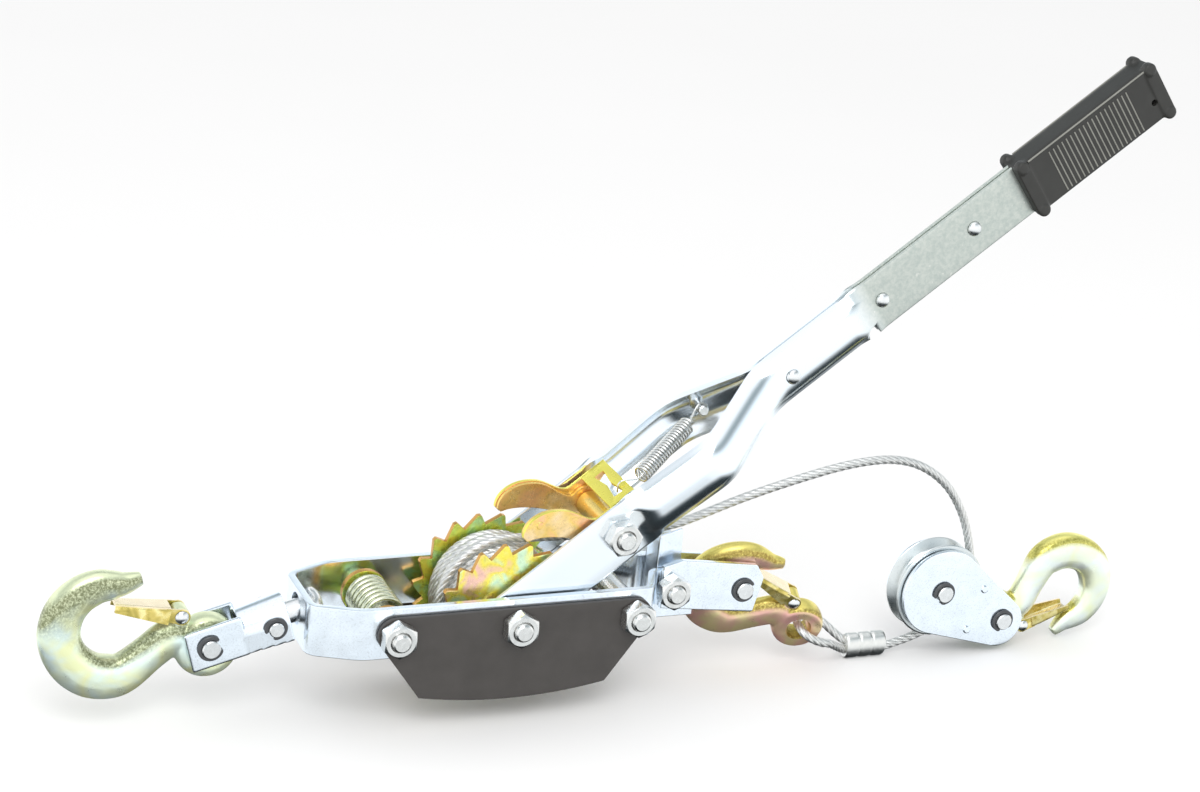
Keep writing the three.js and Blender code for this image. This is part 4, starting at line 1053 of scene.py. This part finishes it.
def latched_hook(name, matrix, size, eye, bore, drop, square, forged):
    """A hook, its latch and the latch's rivet. The eye's radius, bore and drop are real
    millimetres, and the rest of the hook is as large as its matrix makes it."""
    hook, latch = f"{name}_hook", f"{name}_latch"
    skin = hook_skin(eye / size, bore / size, drop / size, square)
    look(hook, skin, forged, matrix, 60)
    x, z = LATCH_PIVOT
    latch_matrix = matrix @ Matrix.Translation((x, 0, z)) @ turn("Y", 12.5)
    look(latch, latch_mesh(), LATCH_GOLD, latch_matrix, SHEET)
    rivet_half = [(0, -8.4), (1.3, -8.3), (2.9, -7.7), (3.6, -6.8), (2.1, -6.8)]
    look(f"{latch}_rivet", mirrored_lathe(rivet_half, x, z, 32), PIN_STEEL, matrix, 40)


latched_hook("front", FRONT_HOOK, 1.0, 17.0, 7.8, 2.5, 0.70, FRONT_FORGED)
latched_hook("cable", CABLE_HOOK, SMALL_HOOK, 15.0, 6.4, 0.0, 0.95, CABLE_FORGED)
latched_hook("block", BLOCK_HOOK, SMALL_HOOK, 15.0, 5.3, 0.0, 0.70, BLOCK_FORGED)


# ---- swivel
def yoke():
    """An arched channel over the stud whose sides run on as two flat cheeks."""
    sheet = 2.8
    sections = []
    for along, outer in ((17.5, YOKE_FACE), (43, 12.5)):
        middle = outer - sheet / 2
        section = folded(middle, 10.5 + middle, 90, sheet, middle - 0.05, 14)
        sections.append([(along, up, middle - across) for across, up in section])
    cheek = rounded([(-11.5, -11, 0.8), (-11.5, 11, 0.8), (19, 11, 0.8), (19, -11, 0.8)])
    cheeks = [plate(cheek, y, y + sheet, bevel=0.4) for y in (-YOKE_FACE, 7.9)]
    return fused(joined(loft(sections), *cheeks), 0.45, 2)


look("swivel_yoke", yoke(), ZINC, SWIVEL, 40)
stud = lathe([(0, 21), (6, 21), (6, 57.6), (8.9, 57.6), (9.5, 58.4), (8.9, 60.4), (6, 62.6), (0, 63.6)])
stud.transform(turn("Z", -90))
look("swivel_stud", stud, PIN_STEEL, SWIVEL, 40)
ringed_pin("swivel_cross_pin", 4.0, 12.5, 6.2, 215, 34.5, 0, SWIVEL)
ringed_pin("hook_pin", PIN_R, YOKE_FACE, RING_R, 5, 0, 0, SWIVEL)


# ---- pulley block
def teardrop(r0, x1, z1, r1):
    """The outline round a circle at zero and a smaller one at (x1, z1)."""
    heading = math.degrees(math.atan2(z1, x1))
    spread = math.degrees(math.acos((r0 - r1) / math.hypot(x1, z1)))
    head = arc(0, 0, r0, heading + spread, heading + 360 - spread, 60)
    return head + arc(x1, z1, r1, heading - spread, heading + spread, 30)


def cheek_dot(x, z, face, out):
    """A small raised dot on a cheek's face; out is 1 or -1, the way that the face looks along y."""
    base, shoulder, top = face - out, face + 0.4 * out, face + 0.8 * out
    return lathe([(0, base), (2.4, base), (2.4, shoulder), (1.8, top), (0, top)], x, z, 28)


cheek_outline = teardrop(26, 41.5, -22.5, 15)
for side, y, face, out in (("near", -10.6, -10.6, -1), ("far", 7.6, 10.6, 1)):
    dots = [cheek_dot(x, z, face, out) for x, z in ((27.5, 0.3), (19.4, -24.7))]
    mesh = joined(plate(cheek_outline, y, y + 3, bevel=0.6), *dots)
    look(f"block_cheek_{side}", mesh, ZINC, BLOCK, 30)
rim = [(BORE_R, -6.8), (27.2, -6.8), (28.0, -6.4), (28.3, -5.9), (27.9, -5.3), (23.2, -3.2), (21.9, -1.6)]
groove_wheel = lathe(rim + [(21.6, 0)] + [(r, -y) for r, y in rim[::-1]], sides=72)
look("sheave", groove_wheel, SHEAVE_ZINC, BLOCK, 35)
ringed_pin("sheave_pin", PIN_R, BLOCK_GRIP, RING_R, 230, 0, 0, BLOCK)
ringed_pin("block_hook_pin", PIN_R, BLOCK_GRIP, RING_R, 285, 42.6, -20.9, BLOCK)


# ---- cable
def cable_path():
    """The slack cable, from round the drum to the hook's eye and back into the ferrule."""
    wrap, drum_y, pitch = 36.2, -11.5, 0.75
    points = []
    for i, degrees in enumerate(range(205, 90, -15)):
        x, z = polar(wrap, degrees)
        points.append((x, drum_y + pitch * i, z))
    points += [(3, -5.4, 36.4), (25, -5, 35.6), (55, -3, 34), (85, -1, 33.6), (100, 0, 35), (112, 0, 38)]
    points += [(143.5, 0, 48.5), (176.3, 0, 57.5), (207, 0, 64), (232.5, 0, 65.5), (252.6, 0, 60.7)]
    points += [(270, 0, 49.4), (282.5, 0, 34), (291.2, 0, 15.5)]
    for x, z in arc(SHEAVE[0], SHEAVE[2], 24.7, 10, -70, 6):
        points.append((x, 0, z))
    points += [(264, 0, -46.4), (253, 0, -49.6), (244, 0, -51.4), (232, 0, -51.5), (220, 0, -51.5)]
    loop = [(21.5, -9), (15, -10.8), (8, -10.6), (2.6, -7), (0.6, 0)]
    loop += [(2.6, 7), (8, 10.6), (15, 10.8), (21.5, 8)]
    eye = place(CABLE_EYE, *CABLE_TURNS)
    points += [tuple(eye @ Vector((x, y, 0))) for x, y in loop]
    return points + [(220, 0.5, -46.1), (232, 0.2, -46.1), (242, 0, -46.1)]


def ferrule():
    """The sleeve pressed over both runs of the rope, with two crimps and rounded ends."""
    start, length, height = 219, 25, -48.8
    half_y, half_z, end_round, crimp_width = 5.4, 7.6, 1.6, 0.035
    sections = []
    for x in np.linspace(start, start + length, 61):
        t = (x - start) / length
        end = min(t, 1 - t) * length
        size = 1.0 - 0.10 * max(0.0, 1 - end / end_round) ** 2
        for crimp in (0.34, 0.66):
            size -= 0.07 * math.exp(-(((t - crimp) / crimp_width) ** 2))
        rim = circle(size, steps=36)
        sections.append([(x, half_y * c, height + half_z * s) for c, s in rim])
    return loft(sections)


cable_run = rope(smooth_path(cable_path(), 1.1), ROPE_R)
look("cable_run", cable_run, ROPE, smooth=60)
look("cable_ferrule", ferrule(), ALUMINIUM, smooth=SOFT)

# ---- CAD nodes that show as they are
for node in ("front_spacer", "rear_spacer", "drum_core"):
    NODES[node].data.materials.clear()
    NODES[node].data.materials.append(PIN_STEEL)


# ---- floor, light and camera
def floor():
    size = 3000.0
    corners = [(-size, -size, -GAP), (size, -size, -GAP), (size, size, -GAP), (-size, size, -GAP)]
    mesh = mesh_of(corners, [(0, 1, 2, 3)])
    mesh.transform(Matrix.Scale(MM, 4))
    s = Shader("pale_floor", roughness=0.9, specular_ior_level=0.0)
    s.link(s.mix(s.noise(400, 2), (0.90, 0.90, 0.90), (0.92, 0.92, 0.92)), "Base Color")
    mesh.materials.append(s.material)
    obj = add("studio_floor", mesh)
    obj.visible_glossy = False


def studio_light():
    """White all round; polished metal also sees a dark band below and a grey one above."""
    world = bpy.data.worlds.new("studio")
    bpy.context.scene.world = world
    world.use_nodes = True
    world.node_tree.nodes.clear()
    n = Nodes(world.node_tree)
    upward = n.node("SeparateXYZ", {0: n.node("TexCoord").outputs["Generated"]}).outputs["Z"]
    height = n.node("MapRange", {"Value": upward, "From Min": -1}).outputs["Result"]
    stops = [(0.0, (0.02, 0.02, 0.02)), (0.20, (0.02, 0.03, 0.035)), (0.29, (0.90, 0.94, 0.96))]
    stops += [(0.60, (1.0, 1.0, 1.0)), (0.70, (0.82, 0.90, 0.95)), (0.80, (0.22, 0.26, 0.28))]
    stops += [(0.86, (0.30, 0.36, 0.38)), (0.93, (0.9, 0.92, 0.95))]
    mirrored = n.node("Background", {"Color": n.ramp(height, *stops), "Strength": 1.25}).outputs[0]
    around = n.node("Background", {"Color": (1, 1, 1), "Strength": 1.0}).outputs[0]
    glossy = n.node("LightPath").outputs["Is Glossy Ray"]
    choose = n.node("MixShader", {0: glossy, 1: around, 2: mirrored})
    n.node("OutputWorld", {"Surface": choose.outputs[0]})


def soft_box(name, location, target, width, height, power):
    """A rectangular lamp at a location in metres, aimed at a target."""
    light = bpy.data.lights.new(name, "AREA")
    light.shape = "RECTANGLE"
    light.size, light.size_y = width, height
    light.energy = power
    obj = add(name, light)
    obj.location = location
    aim = (Vector(target) - Vector(location)).to_track_quat("-Z", "Y")
    obj.rotation_mode = "QUATERNION"
    obj.rotation_quaternion = aim


def camera():
    """A long lens a little to the left of the winch and above it, rolled slightly."""
    heading, down, roll = -24.09, 19.27, 5.58
    data = bpy.data.cameras.new("camera")
    data.lens, data.sensor_width = 75, 36
    data.clip_end = 50
    obj = add("camera", data)
    position = AXLE + MM * Vector((-460.27, -1141.88, 549.86))
    view = turn("Z", heading) @ turn("X", 90 - down) @ turn("Z", roll)
    obj.matrix_world = Matrix.Translation(position) @ view
    bpy.context.scene.camera = obj


floor()
studio_light()
soft_box("key", (-0.5, -1.3, 1.5), (0, 0, 0.1), 1.2, 1.0, 14)
camera()
bpy.context.scene.view_settings.view_transform = "Standard"
